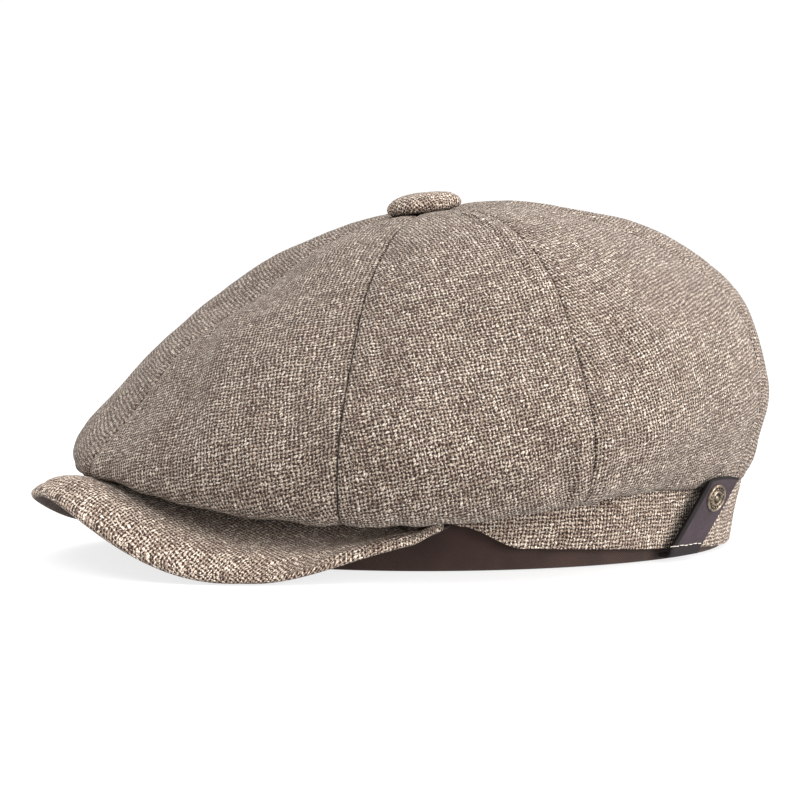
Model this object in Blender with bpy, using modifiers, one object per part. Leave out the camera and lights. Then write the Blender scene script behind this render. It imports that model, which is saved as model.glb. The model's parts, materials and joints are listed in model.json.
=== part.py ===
"""Eight-panel newsboy cap, standing on its brim hem. Metres, +Z up, visor towards -Y.

Every piece is laid out in the head frame, whose origin is the middle of the head opening on
the table, and hangs under one empty that centres the whole cap on the world origin.
"""

import math

import bmesh
import bpy
from mathutils import Matrix, Vector

MM = 0.001

# Head opening, measured on the outside of the band at the table.
BAND_HALF_LENGTH = 101 * MM
BAND_HALF_WIDTH = 82 * MM
HEAD_TO_CENTRE_Y = 24.8 * MM

# Crown: a section from the button down to the sewn hem at each of five azimuths from the
# front. Each point is (distance out from the button, height).
SEAM_AZIMUTHS = tuple(math.radians(a) for a in (0, 46, 84, 138, 180, 222, 276, 314, 360))
CROWN_THICKNESS = 1.2 * MM
PANEL_PUFF = 2.2 * MM
CROWN_TOP_SHARE = 0.021
PIECE_GAP = 0.4 * MM
BUTTON_Y = -16 * MM
APEX_Z = 120.5 * MM
CROWN_SECTIONS = (
    ((21.5, 116.5), (44, 107), (67.5, 90.5), (93.5, 73.5),
     (113.5, 50.5), (127.5, 35.5), (123, 29.5), (88, 34.5)),
    ((23.5, 117.5), (48.5, 109), (74.5, 93), (97, 70.5),
     (115, 46), (117, 26), (108, 18.5), (84, 27)),
    ((26, 121), (54, 115.5), (81.5, 98.5), (102.5, 73),
     (115.5, 49), (113, 31), (103, 24), (88, 28.5)),
    ((28, 123.5), (56.5, 117.5), (85.5, 105), (113, 85),
     (123, 56), (117, 38.5), (112, 29), (109.5, 25)),
    ((28, 124.5), (57.5, 121.5), (90, 113.5), (116, 92),
     (127, 61.5), (126.5, 38), (126, 29), (122, 25.5)),
)

# The overhang of the sides gives way to the plain back sooner than an even blend would.
REAR_START = math.radians(60)
REAR_SHIFT = 0.35

# How far the front right of the crown and the visor ride up.
SETTLE_LIFT = 8 * MM

# Lining: the same layout, as a plain dome that ends above the sweatband.
LINING_THICKNESS = 0.6 * MM
LINING_DROP = 5 * MM
LINING_SECTIONS = (
    ((22, 114), (44, 104), (66, 90), (84, 70), (90, 48), (79, 37)),
    ((24, 115), (48, 106), (72, 90), (88, 66), (88, 42), (74, 31.5)),
    ((26, 116), (52, 109), (77, 91), (92, 64), (90, 40), (78, 29.5)),
    ((28, 118), (54, 114), (81, 98), (101, 72), (107, 44), (99.5, 28.5)),
    ((28, 119), (56, 117), (86, 103), (107, 80), (117, 50), (112, 29)),
)
LINING_HOLE_SHARE = 0.025
LINING_TOP_SHARE = 0.42
LINING_JOIN_SHARE = 0.003
LABEL_ANGLE = math.radians(22)
LABEL_TOP_SHARE = 0.66
LABEL_SHARE = 0.12
LABEL_OFFSET = 1.7 * MM
LABEL_THICKNESS = 0.4 * MM

# Band and sweatband.
BAND_THICKNESS = 1.6 * MM
BAND_TOP_BELOW_HEM = 2.1 * MM
BAND_LOWEST_Z = 1.3 * MM
TEMPLE_ARCH_Z = 15.5 * MM
SWEATBAND_INSET = 2.4 * MM
SWEATBAND_THICKNESS = 1.3 * MM
SWEATBAND_FRONT_Z = 29 * MM
SWEATBAND_BACK_Z = 22 * MM
ELASTIC_HALF_ANGLE = math.radians(28)

# Visor.
VISOR_HALF_ANGLE = math.radians(65)
VISOR_DEPTH = 59.5 * MM
VISOR_INSET = 0.6 * MM
VISOR_FRONT_Z = 25 * MM
VISOR_END_Z = 13 * MM
VISOR_TIP_Z = 23.5 * MM
VISOR_LOWEST_Z = 1.9 * MM
VISOR_ROOT_FALL = 2.2
VISOR_OUTLINE_POWER = 2.5
VISOR_OUTLINE_FULLNESS = 0.62
VISOR_ARCH = 3.5 * MM
VISOR_ARCH_POWER = 4
VISOR_LOW_PLACE = 0.6
VISOR_TUCK = 0.09
VISOR_COVER_REACH = 0.97
VISOR_BOARD_REACH = 0.93
VISOR_LAYER_GAP = 0.9 * MM
VISOR_SKIN = 0.8 * MM
VISOR_BOARD = 1.4 * MM
VISOR_BOARD_INSET = 2.5 * MM

# Covered button.
BUTTON_RADIUS = 13.6 * MM
BUTTON_HEIGHT = 5.8 * MM
BUTTON_TILT = math.radians(9)
BUTTON_CLEARANCE = 2.6 * MM
BUTTON_CLOTH = 1.1 * MM
BUTTON_SHELL = 0.5 * MM
BUTTON_FIT = 0.35 * MM
PLATE_INSET = 1.3 * MM
SHANK_RADIUS = 1.4 * MM
SHANK_BOTTOM = -3 * MM
WASHER_RADIUS = 5.5 * MM
WASHER_TOP = -1.6 * MM
WASHER_THICKNESS = 0.6 * MM

# Leather tab with its press stud, hinged along the stitched fold at the hem.
TAB_AZIMUTH = math.radians(115)
TAB_WIDTH = 17.5 * MM
TAB_HEIGHT = 25 * MM
TAB_SLANT = 15.3 * MM
TAB_THICKNESS = 1.5 * MM
TAB_FOLD_Z = 3.0 * MM
TAB_FOLD_CLEARANCE = 0.5 * MM
TAB_STAND_OFF = 3.0 * MM
TAB_LEAN = math.radians(14)
TAIL_THICKNESS = 0.9 * MM
TAIL_LENGTH = 3.9 * MM
STUD_HEIGHT_ON_TAB = 18.8 * MM
SNAP_CAP_RADIUS = 5 * MM
SNAP_SOCKET_RADIUS = 4 * MM
SNAP_STUD_RADIUS = 1.8 * MM
SNAP_POST_RADIUS = 1.2 * MM

# Heights along the press stud's axis, from the middle of the leather outwards.
SNAP_CAP_TOP = 2.3 * MM
SNAP_CAP_SHOULDER = 1.8 * MM
SNAP_CAP_RIM = 1.2 * MM
SNAP_POST_END = -0.6 * MM
SNAP_SOCKET_END = -2.5 * MM
SNAP_RECESS_END = -1.5 * MM
STUD_TOP = -1.9 * MM
STUD_HEAD_END = -2.75 * MM
STUD_END = -7.9 * MM
SNAP_WASHER_TOP = -7.1 * MM
SNAP_WASHER_END = -7.7 * MM
BAND_HOLE_START = -7 * MM
BAND_HOLE_END = -1 * MM


def clear_scene():
    for obj in list(bpy.data.objects):
        bpy.data.objects.remove(obj)


def collection(name):
    made = bpy.data.collections.new(name)
    bpy.context.scene.collection.children.link(made)
    return made


def material(name, colour, roughness, metallic=0.0):
    made = bpy.data.materials.new(name)
    made.use_nodes = True
    shader = made.node_tree.nodes["Principled BSDF"]
    shader.inputs["Base Color"].default_value = (*colour, 1)
    shader.inputs["Roughness"].default_value = roughness
    shader.inputs["Metallic"].default_value = metallic
    return made


def spline(points, share):
    """The point at this share of a Catmull-Rom curve through the given (a, b) points."""
    last = len(points) - 1
    place = min(max(share, 0.0), 1.0) * last
    index = min(int(place), last - 1)
    u = place - index
    p1 = Vector(points[index])
    p2 = Vector(points[index + 1])
    p0 = Vector(points[index - 1]) if index else 2 * p1 - p2
    p3 = Vector(points[index + 2]) if index + 2 <= last else 2 * p2 - p1
    bend = 2 * p0 - 5 * p1 + 4 * p2 - p3
    twist = 3 * p1 - p0 - 3 * p2 + p3
    return 0.5 * (2 * p1 + (p2 - p0) * u + bend * u * u + twist * u**3)


def smooth_step(low, high, value):
    u = min(max((value - low) / (high - low), 0.0), 1.0)
    return u * u * (3 - 2 * u)


def band_ellipse(azimuth):
    return Vector((BAND_HALF_WIDTH * math.sin(azimuth), -BAND_HALF_LENGTH * math.cos(azimuth)))


def band_normal(azimuth):
    return Vector(
        (math.sin(azimuth) / BAND_HALF_WIDTH, -math.cos(azimuth) / BAND_HALF_LENGTH)
    ).normalized()


def rim_distance(azimuth):
    """From the button's axis to the band's ellipse."""
    return (band_ellipse(azimuth) - Vector((0, BUTTON_Y))).length


def section_value(sections, azimuth, share):
    """(reach, height) of a dome at an azimuth, blended smoothly between its five sections."""
    turn = abs(math.remainder(azimuth, math.tau))
    ahead = max(turn - REAR_START, 0.0) / (math.pi - REAR_START)
    key = turn / (math.pi / 4) + REAR_SHIFT * math.sin(math.pi * ahead) ** 2
    index = min(int(key), 3)
    rows = []
    for near in range(index - 1, index + 3):
        mirrored = abs(near) if near <= 4 else 8 - near
        curve = ((0, sections_apex(sections)),) + sections[mirrored]
        reach, height = spline(curve, share)
        rows.append(Vector((reach / rim_distance(mirrored * math.pi / 4), height * MM)))
    u = key - index
    bend = 2 * rows[0] - 5 * rows[1] + 4 * rows[2] - rows[3]
    twist = 3 * rows[1] - rows[0] - 3 * rows[2] + rows[3]
    part, height = 0.5 * (2 * rows[1] + (rows[2] - rows[0]) * u + bend * u * u + twist * u**3)
    return part * rim_distance(azimuth) * MM, height


def sections_apex(sections):
    """The height of the dome over the button's axis, in millimetres like the sections."""
    return (APEX_Z if sections is CROWN_SECTIONS else APEX_Z - LINING_DROP) / MM


def dome_point(sections, azimuth, share):
    """A point of the dome: towards the band's ellipse, and past it along its normal."""
    reach, height = section_value(sections, azimuth, share)
    to_rim = rim_distance(azimuth)
    inward = Vector((0, BUTTON_Y)).lerp(band_ellipse(azimuth), min(reach / to_rim, 1.0))
    place = inward + band_normal(azimuth) * max(reach - to_rim, 0.0)
    return settled(Vector((place.x, place.y, height)))


def dome_normal(sections, azimuth, share):
    step = 0.004
    low, high = max(share - step, 0.001), min(share + step, 1.0)
    down = dome_point(sections, azimuth, high) - dome_point(sections, azimuth, low)
    around = dome_point(sections, azimuth + step, share) - dome_point(
        sections, azimuth - step, share
    )
    return around.cross(down).normalized() * -1


def settled(place):
    """The wearer's front right, outside the band, sits a little higher than the left."""
    outside = math.hypot(place.x / BAND_HALF_WIDTH, place.y / BAND_HALF_LENGTH) - 1
    lift = SETTLE_LIFT * smooth_step(5 * MM, 60 * MM, -place.x)
    lift *= smooth_step(20 * MM, 90 * MM, -place.y) * smooth_step(0, 0.28, outside)
    lift *= 1 - smooth_step(28 * MM, 62 * MM, place.z)
    return place + Vector((0, 0, lift))


def panel_of(azimuth):
    """The azimuths of the two seams around this one."""
    turn = azimuth % math.tau
    for start, end in zip(SEAM_AZIMUTHS, SEAM_AZIMUTHS[1:]):
        if turn <= end:
            return start, end
    return SEAM_AZIMUTHS[-2:]


def crown_point(azimuth, share):
    """The crown's outside, with each panel puffed between its seams."""
    start, end = panel_of(azimuth)
    across = (azimuth % math.tau - start) / (end - start)
    puff = PANEL_PUFF * (1 - (2 * across - 1) ** 2) * math.sin(math.pi * min(share, 0.86)) ** 0.7
    return dome_point(CROWN_SECTIONS, azimuth, share) + puff * dome_normal(
        CROWN_SECTIONS, azimuth, share
    )


def hem_height(azimuth):
    return section_value(CROWN_SECTIONS, azimuth, 1.0)[1]


def band_flare(azimuth):
    """How far the band's top edge leans out past its bottom edge."""
    return section_value(CROWN_SECTIONS, azimuth, 1.0)[0] - rim_distance(azimuth)


def band_bottom(azimuth):
    """The band's lower edge: above the visor in front, arched at the temples, low behind."""
    turn = abs(math.remainder(azimuth, math.tau))
    if turn <= VISOR_HALF_ANGLE:
        return visor_root_z(turn / VISOR_HALF_ANGLE) + VISOR_BOARD / 2 + VISOR_SKIN + 3 * PIECE_GAP
    after = math.degrees(turn - VISOR_HALF_ANGLE)
    arch = TEMPLE_ARCH_Z - BAND_LOWEST_Z
    steep = 0.55 * (1 - smooth_step(0, 13, after))
    gentle = 0.45 * (1 - smooth_step(0, 85, after))
    return BAND_LOWEST_Z + arch * (steep + gentle)


def band_point(azimuth, height, inset=0.0):
    top = hem_height(azimuth)
    out = band_flare(azimuth) * height / top - inset
    place = band_ellipse(azimuth) + band_normal(azimuth) * out
    return Vector((place.x, place.y, height))


def visor_root_z(across):
    fall = abs(across) ** VISOR_ROOT_FALL
    return VISOR_END_Z + (VISOR_FRONT_Z - VISOR_END_Z) * (1 - fall)


def visor_depth(across):
    narrowing = 1 - abs(across) ** VISOR_OUTLINE_POWER
    return VISOR_DEPTH * narrowing**VISOR_OUTLINE_FULLNESS + VISOR_INSET


def visor_point(across, out):
    """The visor's middle surface: across -1 to 1 between its ends, out 0 to 1 to its edge."""
    azimuth = across * VISOR_HALF_ANGLE
    side = abs(across)
    forward = (band_normal(azimuth) * 0.5 + Vector((0, -0.5))).normalized()
    root = band_ellipse(azimuth) - band_normal(azimuth) * VISOR_INSET
    tuck = VISOR_TUCK * smooth_step(0, 0.5, -across) * (1 - smooth_step(0.75, 1, side))
    place = root + forward * visor_depth(across) * (1 - tuck) * out
    edge_z = VISOR_TIP_Z * (1 - smooth_step(0, VISOR_LOW_PLACE, side)) + VISOR_LOWEST_Z
    edge_z += (VISOR_END_Z - VISOR_LOWEST_Z) * smooth_step(0.66, 1.0, side)
    root_z = visor_root_z(across)
    arch = VISOR_ARCH * math.sin(math.pi * out**VISOR_ARCH_POWER) * (1 - side**3)
    return settled(Vector((place.x, place.y, root_z + (edge_z - root_z) * out + arch)))


def visor_normal(across, out):
    """The upward normal of the visor's middle surface."""
    step = 0.01
    sideways = visor_point(across + step, out) - visor_point(across - step, out)
    low, high = max(out - step, 0.0), min(out + step, 1.0)
    forward = visor_point(across, high) - visor_point(across, low)
    return forward.cross(sideways).normalized()


def grid_mesh(name, point, columns, rows, closed=False):
    """An open surface of quads through point(u, v), for u and v from 0 to 1."""
    shape = bmesh.new()
    across = columns if closed else columns + 1
    lines = []
    for row in range(rows + 1):
        lines.append([shape.verts.new(point(c / columns, row / rows)) for c in range(across)])
    for upper, lower in zip(lines, lines[1:]):
        for c in range(columns):
            nearby = (c + 1) % across
            shape.faces.new((upper[c], lower[c], lower[nearby], upper[nearby]))
    mesh = bpy.data.meshes.new(name)
    shape.to_mesh(mesh)
    shape.free()
    mesh.shade_smooth()
    return mesh


def place_in(parts, parent, name, mesh, slot):
    obj = bpy.data.objects.new(name, mesh)
    mesh.materials.append(slot)
    parts.objects.link(obj)
    obj.parent = parent
    return obj


def solidify(obj, thickness, offset=-1.0):
    thick = obj.modifiers.new("Thickness", "SOLIDIFY")
    thick.thickness = thickness
    thick.offset = offset
    return thick


def turned(parts, parent, name, profile, slot, steps=24):
    """A profile of (radius, height), spun round the parent's Z axis."""
    shape = bmesh.new()
    ring = [shape.verts.new((radius, 0, height)) for radius, height in profile]
    for start, end in zip(ring, ring[1:] + ring[:1]):
        if start.co.x > 0 or end.co.x > 0:
            shape.edges.new((start, end))
    mesh = bpy.data.meshes.new(name)
    shape.to_mesh(mesh)
    shape.free()
    obj = place_in(parts, parent, name, mesh, slot)
    screw = obj.modifiers.new("Turn", "SCREW")
    screw.steps = steps
    screw.render_steps = steps
    screw.use_merge_vertices = True
    screw.merge_threshold = 0.01 * MM
    return obj


def add_crown(parts, root, fabric):
    names = ("front_left", "side_front_left", "side_back_left", "back_left")
    names += ("back_right", "side_back_right", "side_front_right", "front_right")
    for name, start, end in zip(names, SEAM_AZIMUTHS, SEAM_AZIMUTHS[1:]):

        def point(u, v, start=start, end=end):
            share = CROWN_TOP_SHARE + (1 - CROWN_TOP_SHARE) * v
            middle = (start + end) / 2
            spread = (crown_point(start, share) - crown_point(end, share)).length
            shrink = max(1 - PIECE_GAP / spread, 0.0)
            azimuth = middle + (start + (end - start) * u - middle) * shrink
            return crown_point(azimuth, share)

        mesh = grid_mesh(name, point, 6, 17)
        solidify(place_in(parts, root, "crown_panel_" + name, mesh, fabric), CROWN_THICKNESS)


def add_lining(parts, root, satin):
    def top_point(u, v):
        length = LINING_TOP_SHARE - LINING_JOIN_SHARE - LINING_HOLE_SHARE
        return dome_point(LINING_SECTIONS, u * math.tau, LINING_HOLE_SHARE + length * v)

    top = grid_mesh("lining_top", top_point, 32, 4, closed=True)
    solidify(place_in(parts, root, "lining_top", top, satin), LINING_THICKNESS)
    gap = PIECE_GAP / BAND_HALF_WIDTH
    for side, name in ((1, "lining_side_left"), (-1, "lining_side_right")):

        def point(u, v, side=side):
            azimuth = side * (gap + (math.pi - 2 * gap) * (u if side > 0 else 1 - u))
            start = LINING_TOP_SHARE + LINING_JOIN_SHARE
            return dome_point(LINING_SECTIONS, azimuth, start + (1 - start) * v)

        side_piece = place_in(parts, root, name, grid_mesh(name, point, 18, 6), satin)
        solidify(side_piece, LINING_THICKNESS)


def add_band(parts, root, fabric):
    """Both halves of the outer band. The left one, which carries the tab, is returned."""
    gap = PIECE_GAP / BAND_HALF_WIDTH
    halves = []
    for side, name in ((1, "outer_band_left"), (-1, "outer_band_right")):

        def point(u, v, side=side):
            azimuth = side * (gap + (math.pi - 2 * gap) * (u if side > 0 else 1 - u))
            top = hem_height(azimuth) - BAND_TOP_BELOW_HEM
            return band_point(azimuth, top + (band_bottom(azimuth) - top) * v)

        half = place_in(parts, root, name, grid_mesh(name, point, 30, 2), fabric)
        solidify(half, BAND_THICKNESS)
        halves.append(half)
    return halves[0]


def add_sweatband(parts, root, twill, elastic):
    """The twill ring inside the band, and the elastic that closes it at the back."""

    def ring(start, end, name, slot):
        def point(u, v):
            azimuth = start + (end - start) * u
            front = (1 + math.cos(azimuth)) / 2
            top = SWEATBAND_BACK_Z + (SWEATBAND_FRONT_Z - SWEATBAND_BACK_Z) * front
            place = band_ellipse(azimuth) - band_normal(azimuth) * SWEATBAND_INSET
            return Vector((place.x, place.y, top * (1 - v)))

        mesh = grid_mesh(name, point, 36, 2)
        solidify(place_in(parts, root, name, mesh, slot), SWEATBAND_THICKNESS)

    gap = PIECE_GAP / BAND_HALF_WIDTH
    reach = math.pi - ELASTIC_HALF_ANGLE
    ring(-reach + gap, reach - gap, "sweatband", twill)
    ring(reach + gap, math.tau - reach - gap, "back_elastic", elastic)


def add_visor(parts, root, fabric, board, twill):
    """The stiff board between its two covers, each a layer of its own."""
    layer = (VISOR_BOARD + VISOR_SKIN) / 2 + VISOR_LAYER_GAP
    layers = (
        ("visor_top_cover", layer, VISOR_SKIN, 0.0, VISOR_COVER_REACH, fabric),
        ("visor_board", 0.0, VISOR_BOARD, VISOR_BOARD_INSET, VISOR_BOARD_REACH, board),
        ("visor_under_cover", -layer, VISOR_SKIN, 0.0, VISOR_COVER_REACH, twill),
    )
    for name, lift, thickness, inset, reach, slot in layers:

        def point(u, v, lift=lift, inset=inset, reach=reach):
            across = (2 * u - 1) * reach
            out = v * (1 - inset / visor_depth(across))
            return visor_point(across, out) + lift * visor_normal(across, out)

        mesh = grid_mesh(name, point, 26, 9)
        solidify(place_in(parts, root, name, mesh, slot), thickness, 0.0)


def empty(name, parent, matrix):
    made = bpy.data.objects.new(name, None)
    bpy.context.scene.collection.objects.link(made)
    made.empty_display_size = 0.01
    made.parent = parent
    made.matrix_local = matrix
    return made


def dome_profile(radius, height, base, wall, points=5):
    """A hollow dome with its rim turned down to base: outside from the top, then back inside."""
    outer = []
    inner = []
    for step in range(points + 1):
        angle = math.pi / 2 * step / points
        outer.append((radius * math.sin(angle), base + height * math.cos(angle) ** 0.8))
        inner.append(
            ((radius - wall) * math.sin(angle), base + (height - wall) * math.cos(angle) ** 0.8)
        )
    return outer + inner[::-1]


def add_button(parts, root, fabric, metal):
    seat = Matrix.Translation((0, BUTTON_Y, APEX_Z)) @ Matrix.Rotation(BUTTON_TILT, 4, "X")
    button = empty("button_axis", root, seat)
    low = BUTTON_CLEARANCE
    turned(
        parts, button, "button_cover",
        dome_profile(BUTTON_RADIUS, BUTTON_HEIGHT, low, BUTTON_CLOTH), fabric,
    )
    shell_radius = BUTTON_RADIUS - BUTTON_CLOTH - BUTTON_FIT
    shell_height = BUTTON_HEIGHT - BUTTON_CLOTH - BUTTON_FIT
    turned(
        parts, button, "button_shell",
        dome_profile(shell_radius, shell_height, low, BUTTON_SHELL), metal,
    )
    plate_radius = shell_radius - PLATE_INSET
    plate_top, plate_bottom = low + 1.4 * MM, low + 0.6 * MM
    plate = ((0, plate_top), (plate_radius, plate_top), (plate_radius, plate_bottom))
    turned(parts, button, "button_back_plate", plate + ((0, plate_bottom),), metal)
    shank_top = low + 0.3 * MM
    shank = ((0, shank_top), (SHANK_RADIUS, shank_top), (SHANK_RADIUS, SHANK_BOTTOM))
    turned(parts, button, "button_shank", shank + ((0, SHANK_BOTTOM),), metal, 16)
    hole = SHANK_RADIUS + PIECE_GAP
    under = WASHER_TOP - WASHER_THICKNESS
    washer = (
        (hole, WASHER_TOP), (WASHER_RADIUS, WASHER_TOP), (WASHER_RADIUS, under), (hole, under)
    )
    turned(parts, button, "button_washer", washer, metal, 20)


def tab_frame():
    """X back along the hem, Y into the band, Z up the tab, from the middle of its fold."""
    foot = band_point(TAB_AZIMUTH, TAB_FOLD_Z, -TAB_STAND_OFF)
    out = band_normal(TAB_AZIMUTH).to_3d()
    back = Vector((0, 0, 1)).cross(out)
    up = Vector((0, 0, 1)) * math.cos(TAB_LEAN) + out * math.sin(TAB_LEAN)
    frame = Matrix((back, up.cross(back), up)).transposed().to_4x4()
    frame.translation = foot
    return frame


def stud_axis(parent, name):
    """An axis through the press stud: Z leaves the tab's face, from the middle of the leather."""
    slant = TAB_SLANT * STUD_HEIGHT_ON_TAB / TAB_HEIGHT
    place = Matrix.Translation((slant, 0, STUD_HEIGHT_ON_TAB))
    return empty(name, parent, place @ Matrix.Rotation(math.pi / 2, 4, "X"))


def drill(parts, target, axis, name, radius, start, end):
    """Cuts a round hole through the target along an axis."""
    shape = bmesh.new()
    middle = Matrix.Translation((0, 0, (start + end) / 2))
    bmesh.ops.create_cone(
        shape, cap_ends=True, segments=20, radius1=radius, radius2=radius,
        depth=end - start, matrix=middle,
    )
    mesh = bpy.data.meshes.new(name)
    shape.to_mesh(mesh)
    shape.free()
    cutter = bpy.data.objects.new(name, mesh)
    parts.objects.link(cutter)
    cutter.parent = axis
    cutter.hide_render = True
    cutter.display_type = "WIRE"
    cut = target.modifiers.new("Hole", "BOOLEAN")
    cut.operation = "DIFFERENCE"
    cut.object = cutter


def add_tab(parts, cutters, root, leather, metal):
    """The strap, which swings up and away from the band about its stitched fold."""
    hinge = empty("tab_hinge", root, tab_frame())
    half = TAB_WIDTH / 2
    corners = (
        (-half, TAB_FOLD_CLEARANCE), (half, TAB_FOLD_CLEARANCE),
        (half + TAB_SLANT, TAB_HEIGHT), (TAB_SLANT - half, TAB_HEIGHT),
    )
    shape = bmesh.new()
    shape.faces.new([shape.verts.new((x, 0, z)) for x, z in corners])
    mesh = bpy.data.meshes.new("tab_flap")
    shape.to_mesh(mesh)
    shape.free()
    flap = place_in(parts, hinge, "tab_flap", mesh, leather)
    solidify(flap, TAB_THICKNESS, 0.0)
    edge = flap.modifiers.new("Edge", "BEVEL")
    edge.width = 0.3 * MM
    edge.segments = 2
    axis = stud_axis(hinge, "snap_axis")
    face = TAB_THICKNESS / 2
    drill(cutters, flap, axis, "flap_hole", SNAP_POST_RADIUS + PIECE_GAP, -3 * face, 3 * face)
    under = face + 0.2 * MM
    cap = (
        (0, SNAP_CAP_TOP), (3 * MM, SNAP_CAP_TOP - 0.1 * MM),
        (SNAP_CAP_RADIUS - 0.6 * MM, SNAP_CAP_SHOULDER), (SNAP_CAP_RADIUS, SNAP_CAP_RIM),
        (SNAP_CAP_RADIUS, under), (SNAP_POST_RADIUS, under),
        (SNAP_POST_RADIUS, SNAP_POST_END), (0, SNAP_POST_END),
    )
    turned(parts, axis, "snap_cap", cap, metal)
    recess = SNAP_STUD_RADIUS + PIECE_GAP
    seat = -face - 0.25 * MM
    socket = (
        (0, seat), (SNAP_SOCKET_RADIUS, seat), (SNAP_SOCKET_RADIUS, SNAP_SOCKET_END),
        (recess, SNAP_SOCKET_END), (recess, SNAP_RECESS_END), (0, SNAP_RECESS_END),
    )
    turned(parts, axis, "snap_socket", socket, metal)


def add_band_snap(parts, cutters, root, band, metal):
    """The half of the press stud that stays on the band."""
    anchor = empty("tab_anchor", root, tab_frame())
    axis = stud_axis(anchor, "stud_axis")
    hole = SNAP_POST_RADIUS + PIECE_GAP
    drill(cutters, band, axis, "band_hole", hole, BAND_HOLE_START, BAND_HOLE_END)
    stud = (
        (0, STUD_TOP), (SNAP_STUD_RADIUS, STUD_TOP), (SNAP_STUD_RADIUS, STUD_HEAD_END),
        (SNAP_POST_RADIUS, STUD_HEAD_END), (SNAP_POST_RADIUS, STUD_END), (0, STUD_END),
    )
    turned(parts, axis, "snap_stud", stud, metal, 20)
    washer = (
        (hole, SNAP_WASHER_TOP), (SNAP_SOCKET_RADIUS, SNAP_WASHER_TOP),
        (SNAP_SOCKET_RADIUS, SNAP_WASHER_END), (hole, SNAP_WASHER_END),
    )
    turned(parts, axis, "snap_washer", washer, metal, 20)


def add_tab_tail(parts, root, leather):
    """The strap's end, folded under the hem and stitched there."""
    anchor = empty("tail_anchor", root, tab_frame())
    shape = bmesh.new()
    size = Matrix.Diagonal((TAB_WIDTH, TAIL_LENGTH, TAIL_THICKNESS, 1))
    upright = Matrix.Rotation(-TAB_LEAN, 4, "X")
    bmesh.ops.create_cube(shape, size=1, matrix=size)
    mesh = bpy.data.meshes.new("tab_tail")
    shape.to_mesh(mesh)
    shape.free()
    tail = place_in(parts, anchor, "tab_tail", mesh, leather)
    drop = TAB_FOLD_CLEARANCE + TAIL_THICKNESS / 2
    place = Matrix.Translation((0, TAB_FOLD_CLEARANCE + TAIL_LENGTH / 2, -drop))
    tail.matrix_local = upright @ place


def add_label(parts, root, satin):
    """A blank woven label on the lining at the back."""

    def point(u, v):
        azimuth = math.pi + (u - 0.5) * LABEL_ANGLE
        share = LABEL_TOP_SHARE + LABEL_SHARE * v
        inward = -LABEL_OFFSET * dome_normal(LINING_SECTIONS, azimuth, share)
        return dome_point(LINING_SECTIONS, azimuth, share) + inward

    label = place_in(parts, root, "blank_label", grid_mesh("blank_label", point, 6, 2), satin)
    solidify(label, LABEL_THICKNESS)


def main():
    clear_scene()
    parts = collection("newsboy_cap")
    cutters = collection("cutters")
    root = empty("cap_origin", None, Matrix.Translation((0, HEAD_TO_CENTRE_Y, 0)))
    fabric = material("linen_weave", (0.32, 0.26, 0.21), 0.9)
    satin = material("lining_satin", (0.045, 0.03, 0.025), 0.5)
    twill = material("brown_twill", (0.05, 0.032, 0.026), 0.8)
    elastic = material("elastic_webbing", (0.02, 0.018, 0.018), 0.85)
    board = material("visor_plastic", (0.75, 0.75, 0.72), 0.45)
    leather = material("tab_leather", (0.075, 0.055, 0.057), 0.5)
    metal = material("antique_metal", (0.14, 0.11, 0.09), 0.4, 1.0)
    add_crown(parts, root, fabric)
    add_lining(parts, root, satin)
    left_band = add_band(parts, root, fabric)
    add_sweatband(parts, root, twill, elastic)
    add_visor(parts, root, fabric, board, twill)
    add_button(parts, root, fabric, metal)
    add_tab(parts, cutters, root, leather, metal)
    add_tab_tail(parts, root, leather)
    add_band_snap(parts, cutters, root, left_band, metal)
    add_label(parts, root, satin)


main()
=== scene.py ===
"""The looks of the newsboy cap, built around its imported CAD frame. Metres, +Z up, visor to -Y."""

import json
import math

import bmesh
import bpy
import numpy as np
from mathutils import Matrix, Vector, noise


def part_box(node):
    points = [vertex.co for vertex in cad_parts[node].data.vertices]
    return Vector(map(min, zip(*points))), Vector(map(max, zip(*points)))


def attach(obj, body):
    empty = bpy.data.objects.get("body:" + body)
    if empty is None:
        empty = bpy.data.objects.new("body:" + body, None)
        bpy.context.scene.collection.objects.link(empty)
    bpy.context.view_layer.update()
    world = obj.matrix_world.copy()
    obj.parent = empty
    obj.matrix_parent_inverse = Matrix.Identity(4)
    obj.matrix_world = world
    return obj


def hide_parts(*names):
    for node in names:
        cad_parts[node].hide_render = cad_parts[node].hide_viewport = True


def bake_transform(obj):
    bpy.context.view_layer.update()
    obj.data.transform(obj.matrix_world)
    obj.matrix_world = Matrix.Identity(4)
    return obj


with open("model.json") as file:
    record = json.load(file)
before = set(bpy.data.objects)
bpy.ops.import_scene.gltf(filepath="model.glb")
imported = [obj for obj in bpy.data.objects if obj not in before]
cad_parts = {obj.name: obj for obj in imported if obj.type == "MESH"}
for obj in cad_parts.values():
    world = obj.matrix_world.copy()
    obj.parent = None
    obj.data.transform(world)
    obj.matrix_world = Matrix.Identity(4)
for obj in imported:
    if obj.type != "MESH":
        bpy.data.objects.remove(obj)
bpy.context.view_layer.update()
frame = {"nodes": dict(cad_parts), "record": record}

MM = 0.001

# The head frame: the middle of the head opening, taken from the ring inside the cap.
SWEATBAND_LOW, SWEATBAND_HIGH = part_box("sweatband")
ELASTIC_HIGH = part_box("back_elastic")[1]
HEAD_Y = (SWEATBAND_LOW[1] + ELASTIC_HIGH[1]) / 2

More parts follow.
